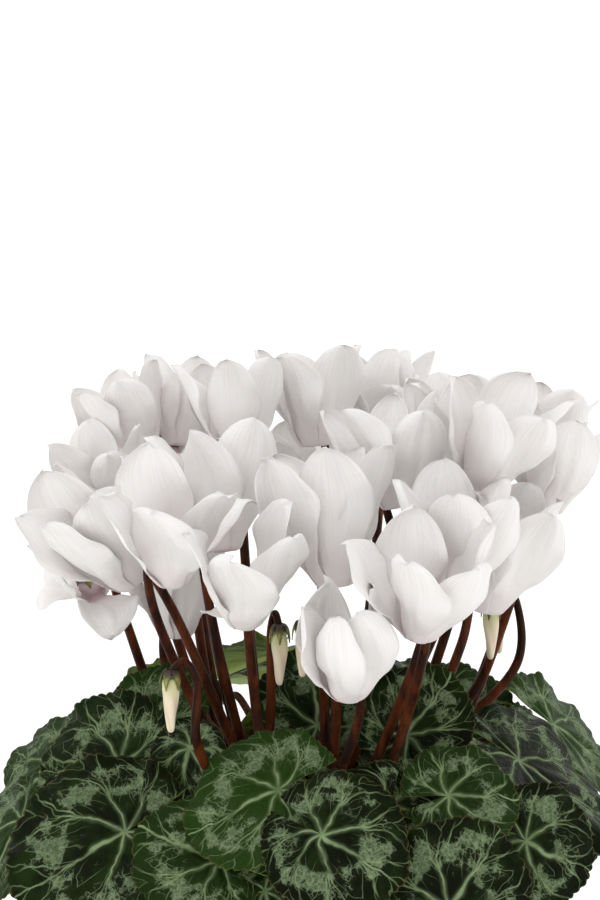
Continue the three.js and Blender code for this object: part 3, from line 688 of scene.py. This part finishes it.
def petalSheet(place, index, petal):
    # the heading h turns evenly from start a to end: reach = R0 + (cos a - cos h) / k and
    # height = Z0 + (sin h - sin a) / k; below the fold it runs round a circle into the mouth;
    # across, x = u w(v), turned by the twist, with a bow of u^2
    special = place.get("petals", {}).get(petal, {})
    size = place.get("size", 1)

    def draw(trait):
        # the petal's own fixed number for a trait
        return vary(index, 10 * petal + trait)

    side, across, up = bloomAxes(place)
    bearing = math.radians(bloom["bearings"][petal] + special.get("shift", bloom["shiftVary"] * draw(1)))
    first, last = special.get("open", place.get("open", bloom["open"]))
    start = math.radians(first + bloom["openVary"][0] * draw(2))
    end = math.radians(last + bloom["openVary"][1] * draw(3))
    length = bloom["length"] * size * special.get("length", 1 + bloom["lengthVary"] * draw(4))
    halfWidth = place.get("width", 1 + bloom["widthVary"] * draw(5))
    halfWidth = bloom["halfWidth"] * size * special.get("width", halfWidth)
    twist = special.get("twist", place.get("twist", bloom["twist"]))
    twist = math.radians(twist + bloom["twistVary"] * draw(6))
    sway = special.get("sway", bloom["swayVary"] * draw(8)) * length
    bow = bloom["bow"] + bloom["bowVary"] * draw(7)

    # rows lie closer towards the tip, where the outline turns fastest
    even = np.linspace(0, 1, bloom["rows"])
    blade = 0.5 * np.sin(even * math.pi / 2) + 0.5 * even
    inner = np.linspace(bloom["mouth"], 0, bloom["mouthRows"] + 1)[:-1]
    v = np.concatenate([inner, blade])[:, None]
    u = np.linspace(-1, 1, bloom["columns"])[None, :]
    radius = bloom["foldRadius"]
    centre = bloom["foldCentre"]
    rate = (end - start) / length
    above = np.maximum(v, 0)
    heading = np.where(v < 0, start - 5 * math.pi * v, start + rate * above * length)
    reach = np.where(v < 0, centre + radius * np.cos(heading),
                     centre + radius * math.cos(start) + (math.cos(start) - np.cos(heading)) / rate)
    height = np.where(v < 0, radius * (1 - np.sin(heading)),
                      radius * (1 - math.sin(start)) + (np.sin(heading) - math.sin(start)) / rate)
    swell = smooth(v / bloom["widest"])
    falling = np.maximum((v - bloom["widest"]) / (1 - bloom["widest"]), 0)
    foot = bloom["foot"] * (1 + 4 * np.minimum(v, 0))
    taper = bloom["taper"] + bloom["taperVary"] * draw(12)
    width = foot + (halfWidth * bloom["fullness"] - foot) * swell
    width = width * np.maximum(1 - falling**taper, 0) ** bloom["blunt"]
    lap = math.radians(bloom["lap"])
    turning = (lap + (twist - lap) * smooth(v / bloom["twistBy"]))[..., None]
    outward = side * math.cos(bearing) + across * math.sin(bearing)
    around = np.cross(up, outward)
    tilt = heading[..., None]
    face = outward * np.cos(tilt) - up * np.sin(tilt)
    wide = around * np.cos(turning) + face * np.sin(turning)
    normal = face * np.cos(turning) - around * np.sin(turning)
    spine = outward * reach[..., None] + up * height[..., None] + around * (sway * v * above)[..., None]

    # waves, rolls, crease, ribs and flare all stand off the blade along its normal
    phase = 3 * draw(9)
    free = smooth(v / bloom["freeBy"])
    edge = np.abs(u) ** 3 * bloom["wave"] * free * (
        np.sin(8 * v + phase + 2.2 * np.sign(u)) + 0.5 * np.sin(19 * v + 2 * phase - np.sign(u)))
    roll = bloom["roll"] * free * np.sin(4.2 * v + 2.1 * u + 2 * phase)
    crease = np.exp(-((u + 0.12 * draw(10)) / 0.2) ** 2)
    groove = -bloom["groove"] * free * crease * smooth((1 - v) / 0.25)
    ribs = bloom["ribs"] * free * np.sin(13 * u + phase) * smooth((1 - v) / 0.3)
    flare = bloom["flare"] * (1 + bloom["flareVary"] * draw(11))
    flare = flare * np.maximum(v - bloom["flareFrom"], 0) ** 2 / 0.2
    curl = bow * width * u**2 * np.clip(4 * v, 0, 1) - size * (edge + roll + groove + ribs + flare)
    skew = bloom["skew"] * draw(10) * width * smooth((v - 0.5) / 0.5) * (1 - u**2)
    flat = spine + wide * (u * width + skew)[..., None] - normal * curl[..., None]

    # round the fold the foot lies on a ring shared by the five petals, one side over and the other under
    phi = np.radians(bloom["wrap"]) * u
    radial = outward * np.cos(phi)[..., None] + around * np.sin(phi)[..., None]
    ring = radial * (reach + 0.32 * u)[..., None] + up * height[..., None]
    share = smooth(v / bloom["ringBy"])[..., None]
    points = np.array(place["at"], float) + ring * (1 - share) + flat * share
    u, v = np.broadcast_arrays(u, v)
    return points, u, v


def bloomPiece(index, place, material):
    # five petals, thinner towards the edges by 1 - u^4, and a closed cup for the flower's tube
    shells = []
    uvs = []
    for petal in range(len(bloom["bearings"])):
        points, u, v = petalSheet(place, index, petal)
        inside = (1 - np.abs(u) ** 4) * smooth((1 - v) / 0.2)
        thickness = bloom["edge"] + (bloom["thickness"] - bloom["edge"]) * inside
        shells.append(sheetShell(points, thickness))
        uv = np.stack([u * 0.5 + 0.5 + petal, v], -1).reshape(-1, 2)
        uvs.append(np.concatenate([uv, uv]))
    side, across, up = bloomAxes(place)
    shells.append(turned(bloom["cup"], bloom["cupSides"], (np.array(place["at"], float), side, across, up)))
    uvs.append(np.tile((0.5, -0.1), (len(shells[-1][0]), 1)))
    points, faces = gather(shells)
    number = "%02d" % (index + 1)
    return addPiece("flower_" + number, points, faces, material, "bloom_" + number,
                    uv=np.concatenate(uvs))


petals = petalMaterial()
for index, place in enumerate(bloomPlaces):
    bloomPiece(index, place, petals)
print("blooms", len(bloomPlaces))


budPlaces = [
    {"at": (-55, -85, 212), "turn": 13, "knee": (0, -4)},
    {"at": (-9, -36, 217), "turn": 110, "knee": (-6, -5)},
    {"at": (1, -41, 220), "turn": 32, "size": 0.9, "knee": (5, -5)},
    {"at": (86, -2, 218), "turn": 91, "knee": (-1, -2)},
    {"at": (91, 18, 212), "turn": 39, "size": 0.9, "knee": (-6, 3)},
]

bud = {
    "top": 9.4,
    "seams": 3,
    "seamDepth": 0.07,
    "spiral": 0.28,           # radians that the seams turn in each mm
    "length": 24,
    "sides": 40,
    "profile": [(0, -24.3), (0.9, -24), (1.5, -22.8), (1.9, -20.4), (2.5, -15.6), (3.2, -10.5), (3.6, -6.5),
                (3.5, -2.8), (2.7, 0), (0, 0.1)],
}


def budPiece(index, place, material):
    # furled petals: r(z) (1 + depth cos(seams t + spiral z)) about the hanging axis, blunt at the bottom
    size = place.get("size", 1)
    profile = np.array(bud["profile"]) * size + (0, bud["top"])
    along = smoothPath(np.column_stack([profile, np.zeros(len(profile))]), 4)[:, :2]
    along[:, 0] = np.maximum(along[:, 0], 0)

    def seams(z, angle):
        # the cosine above, as a factor on the radius
        return 1 + bud["seamDepth"] * np.cos(bud["seams"] * angle + bud["spiral"] * z)

    side, across, up = bloomAxes(place)
    sides = bud["sides"]
    points, faces = turned(along, sides, (np.array(place["at"], float), side, across, up), seams)
    angle = np.linspace(0, 2 * np.pi, sides + 1)
    seam = (1 - np.cos(bud["seams"] * angle[None, :] + bud["spiral"] * along[:, 1:2])) / 2
    share = np.repeat((along[:, 1:2] - along[0, 1]) / (bud["length"] * size), sides + 1, axis=1)
    fields = {"seam": seam**3, "along": share}
    number = "%02d" % (index + 1)
    return addPiece("furled_" + number, points, faces, material, "bud_" + number, fields)


cream = budMaterial()
for index, place in enumerate(budPlaces):
    budPiece(index, place, cream)
print("buds", len(budPlaces))


leafPlaces = [
    {"at": (-9, -101, 177), "size": 43, "out": -124, "tilt": 40, "spin": -49, "bow": 7},
    {"at": (-35, -106, 147), "size": 38, "out": -95, "tilt": 41, "spin": -113, "bow": -6},
    {"at": (9, -127, 167), "size": 38, "out": -93, "tilt": 52, "spin": 57, "bow": -8},
    {"at": (38, -95, 167), "size": 31, "out": -86, "tilt": 64, "spin": -26, "bow": 5},
    {"at": (63, -95, 172), "size": 32, "out": -73, "tilt": 40, "spin": 89},
    {"at": (97, -33, 166), "size": 56, "out": -21, "tilt": 35, "spin": 16, "bow": 4},
    {"at": (97, -85, 148), "size": 34, "out": -68, "tilt": 70, "spin": 59, "bow": 8},
    {"at": (62, -129, 135), "size": 40, "out": -79, "tilt": 65, "spin": 139, "bow": 15},
    {"at": (8, -3, 172), "size": 36, "out": -92, "tilt": 71, "spin": 186, "bow": 11},
    {"at": (47, -49, 183), "size": 33, "out": -109, "tilt": 66, "spin": 155, "bow": -5},
    {"at": (74, 66, 161), "size": 42, "out": -19, "tilt": 24, "spin": 115, "bow": -5},
    {"at": (70, 33, 158), "size": 38, "out": -71, "tilt": 48, "spin": 122, "bow": -3},
    {"at": (-79, -45, 169), "size": 42, "out": -120, "tilt": 59, "spin": -76, "bow": 2},
    {"at": (-114, 11, 150), "size": 42, "out": -160, "tilt": 45, "spin": -18, "bow": 2},
    {"at": (-75, -85, 152), "size": 54, "out": -104, "tilt": 39, "spin": -52, "bow": -11},
    {"at": (-123, -46, 143), "size": 38, "out": -154, "tilt": 53, "spin": 4, "bow": -3},
    {"at": (-48, -56, 180), "size": 22, "out": -109, "tilt": 66, "spin": -4, "bow": 18},
    {"at": (-67, -16, 177), "size": 30, "out": -112, "tilt": 53, "spin": 161, "bow": -4},
    {"at": (-76, 45, 173), "size": 32, "out": 141, "tilt": 55, "spin": 64, "bow": 21},
    {"at": (118, 32, 160), "size": 46, "out": -13, "tilt": 42, "spin": 29, "bow": 13},
    {"at": (89, 93, 142), "size": 46, "out": 58, "tilt": 28, "spin": 9, "bow": 15},
    {"at": (41, 125, 154), "size": 46, "out": 81, "tilt": 26, "spin": 7},
    {"at": (-9, 121, 168), "size": 46, "out": 92, "tilt": 34, "spin": 14, "bow": -9},
    {"at": (-40, 89, 163), "size": 45, "out": 135, "tilt": 28, "spin": -34, "bow": 18},
    {"at": (-99, 78, 134), "size": 45, "out": 133, "tilt": 61, "spin": 7, "bow": 15},
]

leaf = {
    "sinus": 0.16,            # radians of the notch on each side
    "thickness": 0.55,
    "rim": 0.3,
    "teeth": 56,              # right round
    "toothDepth": 0.034,      # this and the next are shares of the blade's size
    "toothSink": 0.02,
    "wobble": 0.018,          # unevenness of the outline
    "quilt": 0.011,           # tissue between veins
    "cup": 0.06,              # the two sides stand up from the rib
    "droop": 0.12,
    "droopVary": 0.04,
    "ripple": 0.035,
    "rippleVary": 0.015,
    "edgeWave": 0.032,
    "edgeRipple": 0.018,
    "columns": 281,
    "rows": 17,
}


def bladeAxes(place):
    # normal leans by the tilt towards `out`; the rib is the downhill way turned by the spin
    out, tilt, spin = [math.radians(place[key]) for key in ("out", "tilt", "spin")]
    normal = np.array([math.sin(tilt) * math.cos(out), math.sin(tilt) * math.sin(out), math.cos(tilt)])
    down = np.array([math.cos(tilt) * math.cos(out), math.cos(tilt) * math.sin(out), -math.sin(tilt)])
    rib = down * math.cos(spin) + np.cross(normal, down) * math.sin(spin)
    return normal, rib, np.cross(normal, rib)


def leafPiece(index, place, material, name, cadNode):
    # reach(a) = size share (0.8 + 0.18 cos a + 0.05 exp(-(a / 0.3)^2)), with teeth at the edge, lifted by
    # a ripple of sin 4a and sunk by a droop of share^2, with quilting between veins and waves at the edge
    size = place["size"]
    normal, rib, left = bladeAxes(place)
    phase = 3 * vary(index, 1)
    droop = leaf["droop"] + leaf["droopVary"] * vary(index, 2)
    ripple = leaf["ripple"] + leaf["rippleVary"] * vary(index, 3)
    span = math.pi - leaf["sinus"]
    angle = np.linspace(-span, span, leaf["columns"])[None, :]
    share = (1 - (1 - np.linspace(0, 1, leaf["rows"])) ** 1.35)[:, None]
    outline = 0.8 + 0.18 * np.cos(angle) + 0.05 * np.exp(-((angle / 0.3) ** 2))
    wobble = leaf["wobble"] * np.sin(7 * angle + 5 * vary(index, 4))
    wobble = wobble + leaf["wobble"] / 3 * np.sin(13 * angle + 9 * vary(index, 5))
    teeth = leaf["toothDepth"] * np.abs(np.sin(leaf["teeth"] / 2 * angle)) ** 0.7 - leaf["toothSink"]
    reach = size * outline * share * (1 + share**8 * (teeth + wobble))
    bent = angle / (1 - 0.12 * share**2)
    lift = size * share**2 * (ripple * np.sin(4 * angle + phase) - droop)
    lift = lift + leaf["cup"] * size * share * np.abs(np.sin(angle))
    lift = lift - leaf["quilt"] * size * np.cos(10 * bent) * smooth(share / 0.4) * (1 - 0.4 * share)
    lift = lift + leaf["edgeWave"] * size * share**3 * np.sin(9 * angle + 5 * phase)
    lift = lift + leaf["edgeRipple"] * size * share**4 * np.sin(19 * angle + 7 * phase)
    lift = lift + 0.05 * size * share**2 * np.abs(np.sin(angle / 2)) * (1 + vary(index, 7))
    points = (np.array(place["at"], float) + rib * (reach * np.cos(angle))[..., None]
              + left * (reach * np.sin(angle))[..., None] + normal * lift[..., None])
    angle, share = np.broadcast_arrays(angle, share)
    thickness = leaf["rim"] + (leaf["thickness"] - leaf["rim"]) * smooth((1 - share) / 0.15)
    corners, faces = sheetShell(points, thickness)
    # the sheet's first face is its upper one only where the grid's normals agree with the blade's
    count = angle.size
    second = np.concatenate([np.full(count, 0.0), np.full(count, 1.0)])
    facing = np.sum(gridNormals(points).reshape(-1, 3) * normal, axis=1).mean() > 0
    uv = np.stack([angle / (2 * math.pi) + 0.5, share], -1).reshape(-1, 2)
    fields = {
        "reach": np.tile(reach.ravel(), 2),
        "side": 1 - second if facing else second,
        "tone": np.full(2 * count, vary(index, 6)),
    }
    return addPiece(name, corners, faces, material, cadNode, fields, np.tile(uv, (2, 1)))


# small leaves low among the stalks, set out by the golden angle
young = {
    "count": 24,
    "turn": 0,
    "inner": 20,              # nearest and farthest from the middle
    "outer": 86,
    "low": 123,
    "high": 160,
    "small": 18,
    "large": 30,
    "step": 137.5,            # degrees from one to the next
    "tilt": 48,
    # what a leaf's own draws add at the most, either way
    "stepVary": 8,
    "heightVary": 5,
    "outVary": 25,
    "tiltVary": 18,
    "spinVary": 60,
    "bowVary": 3,
    "firstDraw": 50,          # keeps their draws apart from the large leaves'
}

# and a few given one by one where the blades leave a gap
tucked = [
    {"at": (-15, -100, 131), "size": 24, "out": -95, "tilt": 58, "spin": 20},
    {"at": (92, -38, 134), "size": 25, "out": -50, "tilt": 55, "spin": -30},
    {"at": (110, 62, 146), "size": 25, "out": -20, "tilt": 52, "spin": 15},
    {"at": (27, 8, 150), "size": 22, "out": -85, "tilt": 62, "spin": 35},
]


def youngPlaces():
    # bearing = turn + step i degrees, reach grows as sqrt(i / n), and the blade faces outward
    places = []
    for i in range(young["count"]):
        share = math.sqrt((i + 0.5) / young["count"])
        bearing = young["turn"] + young["step"] * i + young["stepVary"] * vary(i, 21)
        reach = young["inner"] + (young["outer"] - young["inner"]) * share
        height = young["high"] - (young["high"] - young["low"]) * share**2
        height = height + young["heightVary"] * vary(i, 22)
        x = reach * math.cos(math.radians(bearing))
        y = reach * math.sin(math.radians(bearing))
        places.append({
            "at": (x, y, height),
            "size": young["small"] + (young["large"] - young["small"]) * (0.5 + 0.5 * vary(i, 23)),
            "out": bearing + young["outVary"] * vary(i, 24),
            "tilt": young["tilt"] + young["tiltVary"] * vary(i, 25),
            "spin": young["spinVary"] * vary(i, 26),
            "bow": young["bowVary"] * vary(i, 27),
        })
    return places


marbled = leafMaterial()
for index, place in enumerate(leafPlaces):
    number = "%02d" % (index + 1)
    leafPiece(index, place, marbled, "blade_" + number, "leaf_" + number)
smallLeaves = youngPlaces() + tucked
for index, place in enumerate(smallLeaves):
    leafPiece(young["firstDraw"] + index, place, marbled, "young_%02d" % (index + 1), "stalks")
print("leaves", len(leafPlaces), "and small ones", len(smallLeaves))


stalk = {
    "root": 115.6,
    "spread": 0.13,           # share of the reach where a stalk leaves the crown
    "hookReach": 11.2,
    "hookTop": 16.5,
    "hookEnd": 11.7,
    "thick": 2.6,             # radius at the crown
    "thin": 1.65,             # radius at the hook
    "petiole": 1.85,
    "sides": 14,
    "steps": 12,              # rings between two points of the path
}


def flowerStalk(place):
    # from the crown up to below the hook, over the hook and down into the calyx
    side, across, up = bloomAxes(place)
    base = np.array(place["at"], float)
    knee = place.get("knee", (0, 0))

    def near(reach, height):
        # a point of the hook, sideways and up from the bloom's place
        return base + side * reach + up * height

    below = near(stalk["hookReach"], -20)
    spread = stalk["spread"]
    through = [
        (spread * below[0], spread * below[1], stalk["root"]),
        (0.55 * below[0] + knee[0], 0.55 * below[1] + knee[1], stalk["root"] + 28),
        below,
        near(stalk["hookReach"], 8),
        near(0.5 * stalk["hookReach"], stalk["hookTop"]),
        near(0, stalk["hookEnd"]),
    ]
    path = smoothPath(through, stalk["steps"])
    share = np.linspace(0, 1, len(path))
    radii = stalk["thick"] + (stalk["thin"] - stalk["thick"]) * smooth(share / 0.8)
    return tube(path, radii, stalk["sides"], across), np.repeat(0 * share, stalk["sides"] + 1)


def leafStalk(place):
    # from the crown outward and up, squared to the blade at its end
    x, y, z = place["at"]
    normal = bladeAxes(place)[0]
    rise = z - stalk["root"]
    bow = place.get("bow", 0)
    at = np.array(place["at"], float)
    spread = stalk["spread"]
    through = [
        (spread * x, spread * y, stalk["root"]),
        (0.4 * x, 0.4 * y, stalk["root"] + 0.22 * rise + 2 + bow),
        (0.74 * x, 0.74 * y, stalk["root"] + 0.62 * rise + bow),
        at - 10 * normal,
        at - 0.3 * normal,
    ]
    path = smoothPath(through, stalk["steps"])
    share = np.linspace(0, 1, len(path))
    radii = stalk["petiole"] * (1.08 - 0.2 * share)
    flat = math.hypot(x, y)
    steady = np.array([-y / flat, x / flat, 0])
    green = np.repeat(smooth((share - 0.6) / 0.4), stalk["sides"] + 1)
    return tube(path, radii, stalk["sides"], steady), green


def stalkPiece(name, made, material):
    # the green field is padded for the two closing rings of each tube
    points, faces = gather([shell for shell, green in made])
    ring = stalk["sides"] + 1
    green = np.concatenate([np.concatenate([field[:ring], field, field[-ring:]]) for shell, field in made])
    return addPiece(name, points, faces, material, "stalks", {"green": green})


sepal = {
    "count": 5,
    "halfAngle": 38,          # degrees, at the foot
    "thickness": 0.4,
    "bloom": {"foot": 1.6, "spread": 3.9, "top": 13.8, "drop": 6.3},
    "bud": {"foot": 1.5, "spread": 2.9, "top": 13.3, "drop": 8.4},
}


def sepals(place, kind):
    # pointed sepals: r = foot + spread sin(pi s / 2), z = top - drop s^2, half angle 38 (1 - s^1.7) degrees
    side, across, up = bloomAxes(place)
    base = np.array(place["at"], float)
    form = sepal[kind]
    s = np.linspace(0, 1, 9)[:, None]
    u = np.linspace(-1, 1, 7)[None, :]
    made = []
    downs = []
    for number in range(sepal["count"]):
        bearing = math.radians(360 / sepal["count"] * number + 18)
        angle = bearing + np.radians(sepal["halfAngle"]) * (1 - s**1.7) * u
        radius = form["foot"] + form["spread"] * np.sin(s * math.pi / 2) + 0.12 * u + 0.25 * np.abs(u)
        height = form["top"] - form["drop"] * s**2 + 0 * u
        points = base + side * (radius * np.cos(angle))[..., None]
        points = points + across * (radius * np.sin(angle))[..., None] + up * height[..., None]
        made.append(sheetShell(points, np.full(radius.shape, sepal["thickness"])))
        down = (s + 0 * u).ravel()
        downs.append(np.concatenate([down, down]))
    return gather(made), np.concatenate(downs)


redBrown = stalkMaterial()
stalkPiece("flower_stalks", [flowerStalk(place) for place in bloomPlaces + budPlaces], redBrown)
stalkPiece("leaf_stalks", [leafStalk(place) for place in leafPlaces + smallLeaves], redBrown)

cups = [sepals(place, "bloom") for place in bloomPlaces] + [sepals(place, "bud") for place in budPlaces]
points, faces = gather([shell for shell, down in cups])
downs = np.concatenate([down for shell, down in cups])
addPiece("sepals", points, faces, calyxMaterial(), "stalks", {"down": downs})


def knobbly(z, angle):
    # lumps of the corky crown and tuber: 1 + three sines round the axis
    lumps = 1 + 0.035 * np.sin(5 * angle + 0.3 * z) + 0.025 * np.sin(11 * angle - 0.5 * z)
    return lumps + 0.012 * np.sin(23 * angle + z)


crown = {
    "dark": "#3a2416",
    "light": "#6e4526",
    "scales": 3,              # mm
    "relief": 0.6,
    "sides": 72,
    "profile": [(0, 113.3), (22, 113.3), (23, 114.8), (22.4, 116.9), (20.4, 118.5), (16, 119.6), (11, 120.2),
                (5, 120.4), (0, 120.3)],
}

scaly = crumbMaterial("crown_scaly", crown["dark"], crown["light"], crown["scales"], 0.8, crown["relief"])
points, faces = turned(crown["profile"], crown["sides"], wobble=knobbly)
addPiece("crown", points, faces, scaly, "stalks")
print("stalks", len(bloomPlaces) + len(budPlaces) + len(leafPlaces) + len(smallLeaves))


tuber = {
    "dark": "#3f2c20",
    "light": "#7a5b45",
    "cork": 4,                # mm
    "relief": 0.8,
    "sides": 96,
    "profile": [(0, 81.2), (8, 82), (16, 84.4), (24, 89.4), (29, 94.5), (31.6, 99), (31.2, 103), (28.8, 107),
                (25, 110.5), (23, 112.6), (18, 113), (0, 113)],
}

corky = crumbMaterial("tuber_cork", tuber["dark"], tuber["light"], tuber["cork"], 0.85, tuber["relief"])
points, faces = turned(tuber["profile"], tuber["sides"], wobble=knobbly)
addPiece("corm", points, faces, corky, "tuber")


soil = {
    "dark": "#1b120c",
    "light": "#4a3526",
    "crumbs": 2.6,            # mm
    "relief": 1.6,
    "level": 106,
    "floor": 3.3,
    "radius": 64.6,
    "lowRadius": 47.6,
    "rings": 34,
    "sides": 120,
}


def soilPiece(material):
    # level(r, t) = 106 mm + lumps of 0.4 to 0.7 mm, down to the floor on the pot's inner cone
    sides = soil["sides"]
    angle = np.linspace(0, 2 * np.pi, sides + 1)[None, :]
    radius = np.linspace(0, soil["radius"], soil["rings"])[:, None]
    x = radius * np.cos(angle)
    y = radius * np.sin(angle)
    lumps = 0.7 * np.sin(0.31 * x + 1.3) * np.sin(0.27 * y)
    lumps = lumps + 0.5 * np.sin(0.83 * x - 0.6 * y)
    lumps = lumps + 0.4 * np.sin(1.7 * y + 0.9 * x)
    top = np.stack([x, y, soil["level"] + lumps], -1)[::-1]
    bottom = soil["floor"] + 0 * angle
    low = np.stack([soil["lowRadius"] * np.cos(angle), soil["lowRadius"] * np.sin(angle), bottom], -1)
    floor = np.stack([0 * angle, 0 * angle, bottom], -1)
    points = np.concatenate([floor, low, top])
    points[:, -1] = points[:, 0]
    faces = gridFaces(len(points), sides + 1)
    return addPiece("peat", points.reshape(-1, 3), faces, material, "soil")


soilPiece(crumbMaterial("soil_peat", soil["dark"], soil["light"], soil["crumbs"], 0.95, soil["relief"]))


pot = {
    "sides": 96,
    "holes": 6,
    "holeRadius": 4,
    "holeCircle": 32,
    "holeSides": 32,
    "profile": [(0, 0), (48.8, 0), (49.7, 0.3), (50.1, 1.1), (67.6, 105.4), (67.9, 106.3), (69.7, 106.9),
                (70.3, 107.5), (72.45, 118.6), (72.2, 119.6), (71.3, 120), (69, 120), (67.9, 119.6),
                (67.5, 118.6), (48.6, 4.4), (47.6, 3.2), (46.4, 3), (0, 3)],
}


def potPiece(material):
    # the profile is turned about the axis, then round holes are cut through the floor on one circle
    points, faces = turned(pot["profile"], pot["sides"])
    piece = addPiece("pot_shell", points, faces, material, "pot")
    radius = pot["holeRadius"]
    shells = []
    for angle in np.radians((np.arange(pot["holes"]) + 0.5) * 360 / pot["holes"]):
        corners, quads = turned([(0, -5), (radius, -5), (radius, 8), (0, 8)], pot["holeSides"])
        corners = corners + (pot["holeCircle"] * math.cos(angle), pot["holeCircle"] * math.sin(angle), 0)
        shells.append((corners, quads))
    corners, quads = gather(shells)
    cutterMesh = bpy.data.meshes.new("cutter")
    cutterMesh.from_pydata((corners * mm).tolist(), [], quads.tolist())
    weld(cutterMesh)
    cutter = bpy.data.objects.new("cutter", cutterMesh)
    bpy.context.scene.collection.objects.link(cutter)
    cut = piece.modifiers.new("holes", "BOOLEAN")
    cut.operation = "DIFFERENCE"
    cut.object = cutter
    bpy.context.view_layer.update()
    whole = bpy.data.meshes.new_from_object(piece.evaluated_get(bpy.context.evaluated_depsgraph_get()))
    piece.modifiers.clear()
    piece.data = whole
    bpy.data.objects.remove(cutter)
    return piece


potPiece(potMaterial())
print("pot, soil and tuber")


backdrop = {
    "color": "#fbfbfa",
    "half": 40.0,             # metres, as all here
    "bendFrom": 1.6,
    "bendRadius": 1.5,
    "height": 4.0,
    "steps": 25,
}


def sweepFloor():
    # flat to 1.6 m behind, then a quarter circle of 1.5 m radius up into a wall
    near = np.array([(-backdrop["half"], 0), (-1.0, 0), (backdrop["bendFrom"], 0)])
    turn = np.linspace(0, np.pi / 2, backdrop["steps"])[1:]
    radius = backdrop["bendRadius"]
    bend = np.column_stack([backdrop["bendFrom"] + radius * np.sin(turn), radius * (1 - np.cos(turn))])
    line = np.concatenate([near, bend, [(backdrop["bendFrom"] + radius, backdrop["height"])]])
    across = np.array([-backdrop["half"], backdrop["half"]])
    points = np.stack([np.repeat(across[None, :], len(line), 0), np.repeat(line[:, :1], 2, 1),
                       np.repeat(line[:, 1:], 2, 1)], -1)
    mesh = bpy.data.meshes.new("sweep")
    mesh.from_pydata(points.reshape(-1, 3).tolist(), [], gridFaces(len(line), 2).tolist())
    mesh.polygons.foreach_set("use_smooth", np.full(len(mesh.polygons), True))
    # matt white paper that never shines
    paper = {"Roughness": 0.9, "Base Color": linear(backdrop["color"]), "Specular IOR Level": 0,
             "Emission Color": (1, 1, 1, 1), "Emission Strength": light["floorGlow"]}
    mesh.materials.append(begin("backdrop_white", paper)[0])
    floor = bpy.data.objects.new("sweep", mesh)
    bpy.context.scene.collection.objects.link(floor)


def aim(thing, target):
    # turns -Z of the thing to the target with +Y up
    thing.rotation_euler = (Vector(target) - thing.location).to_track_quat("-Z", "Y").to_euler()


def areaLight(name, place, power, size):
    # a square soft light of `size` metres, turned to the plant
    lamp = bpy.data.lights.new(name, "AREA")
    lamp.energy = power
    lamp.size = size
    made = bpy.data.objects.new(name, lamp)
    made.location = place
    aim(made, light["aim"])
    bpy.context.scene.collection.objects.link(made)


sweepFloor()
world = bpy.data.worlds.new("studio")
bpy.context.scene.world = world
world.use_nodes = True
world.node_tree.nodes["Background"].inputs["Color"].default_value = (1, 1, 1, 1)
world.node_tree.nodes["Background"].inputs["Strength"].default_value = light["world"]
for name in ("key", "fill", "back"):
    areaLight(name, light[name + "At"], light[name], light[name + "Size"])

lens = bpy.data.cameras.new("camera")
lens.lens = view["lens"]
lens.sensor_width = view["sensor"]
camera = bpy.data.objects.new("camera", lens)
rise = math.radians(view["elevation"])
target = np.array(view["target"]) * mm
camera.location = target + np.array([0, -math.cos(rise), math.sin(rise)]) * view["distance"] * mm
aim(camera, target)
bpy.context.scene.collection.objects.link(camera)
bpy.context.scene.camera = camera
bpy.context.scene.view_settings.view_transform = "Standard"
print("floor, lights and camera")
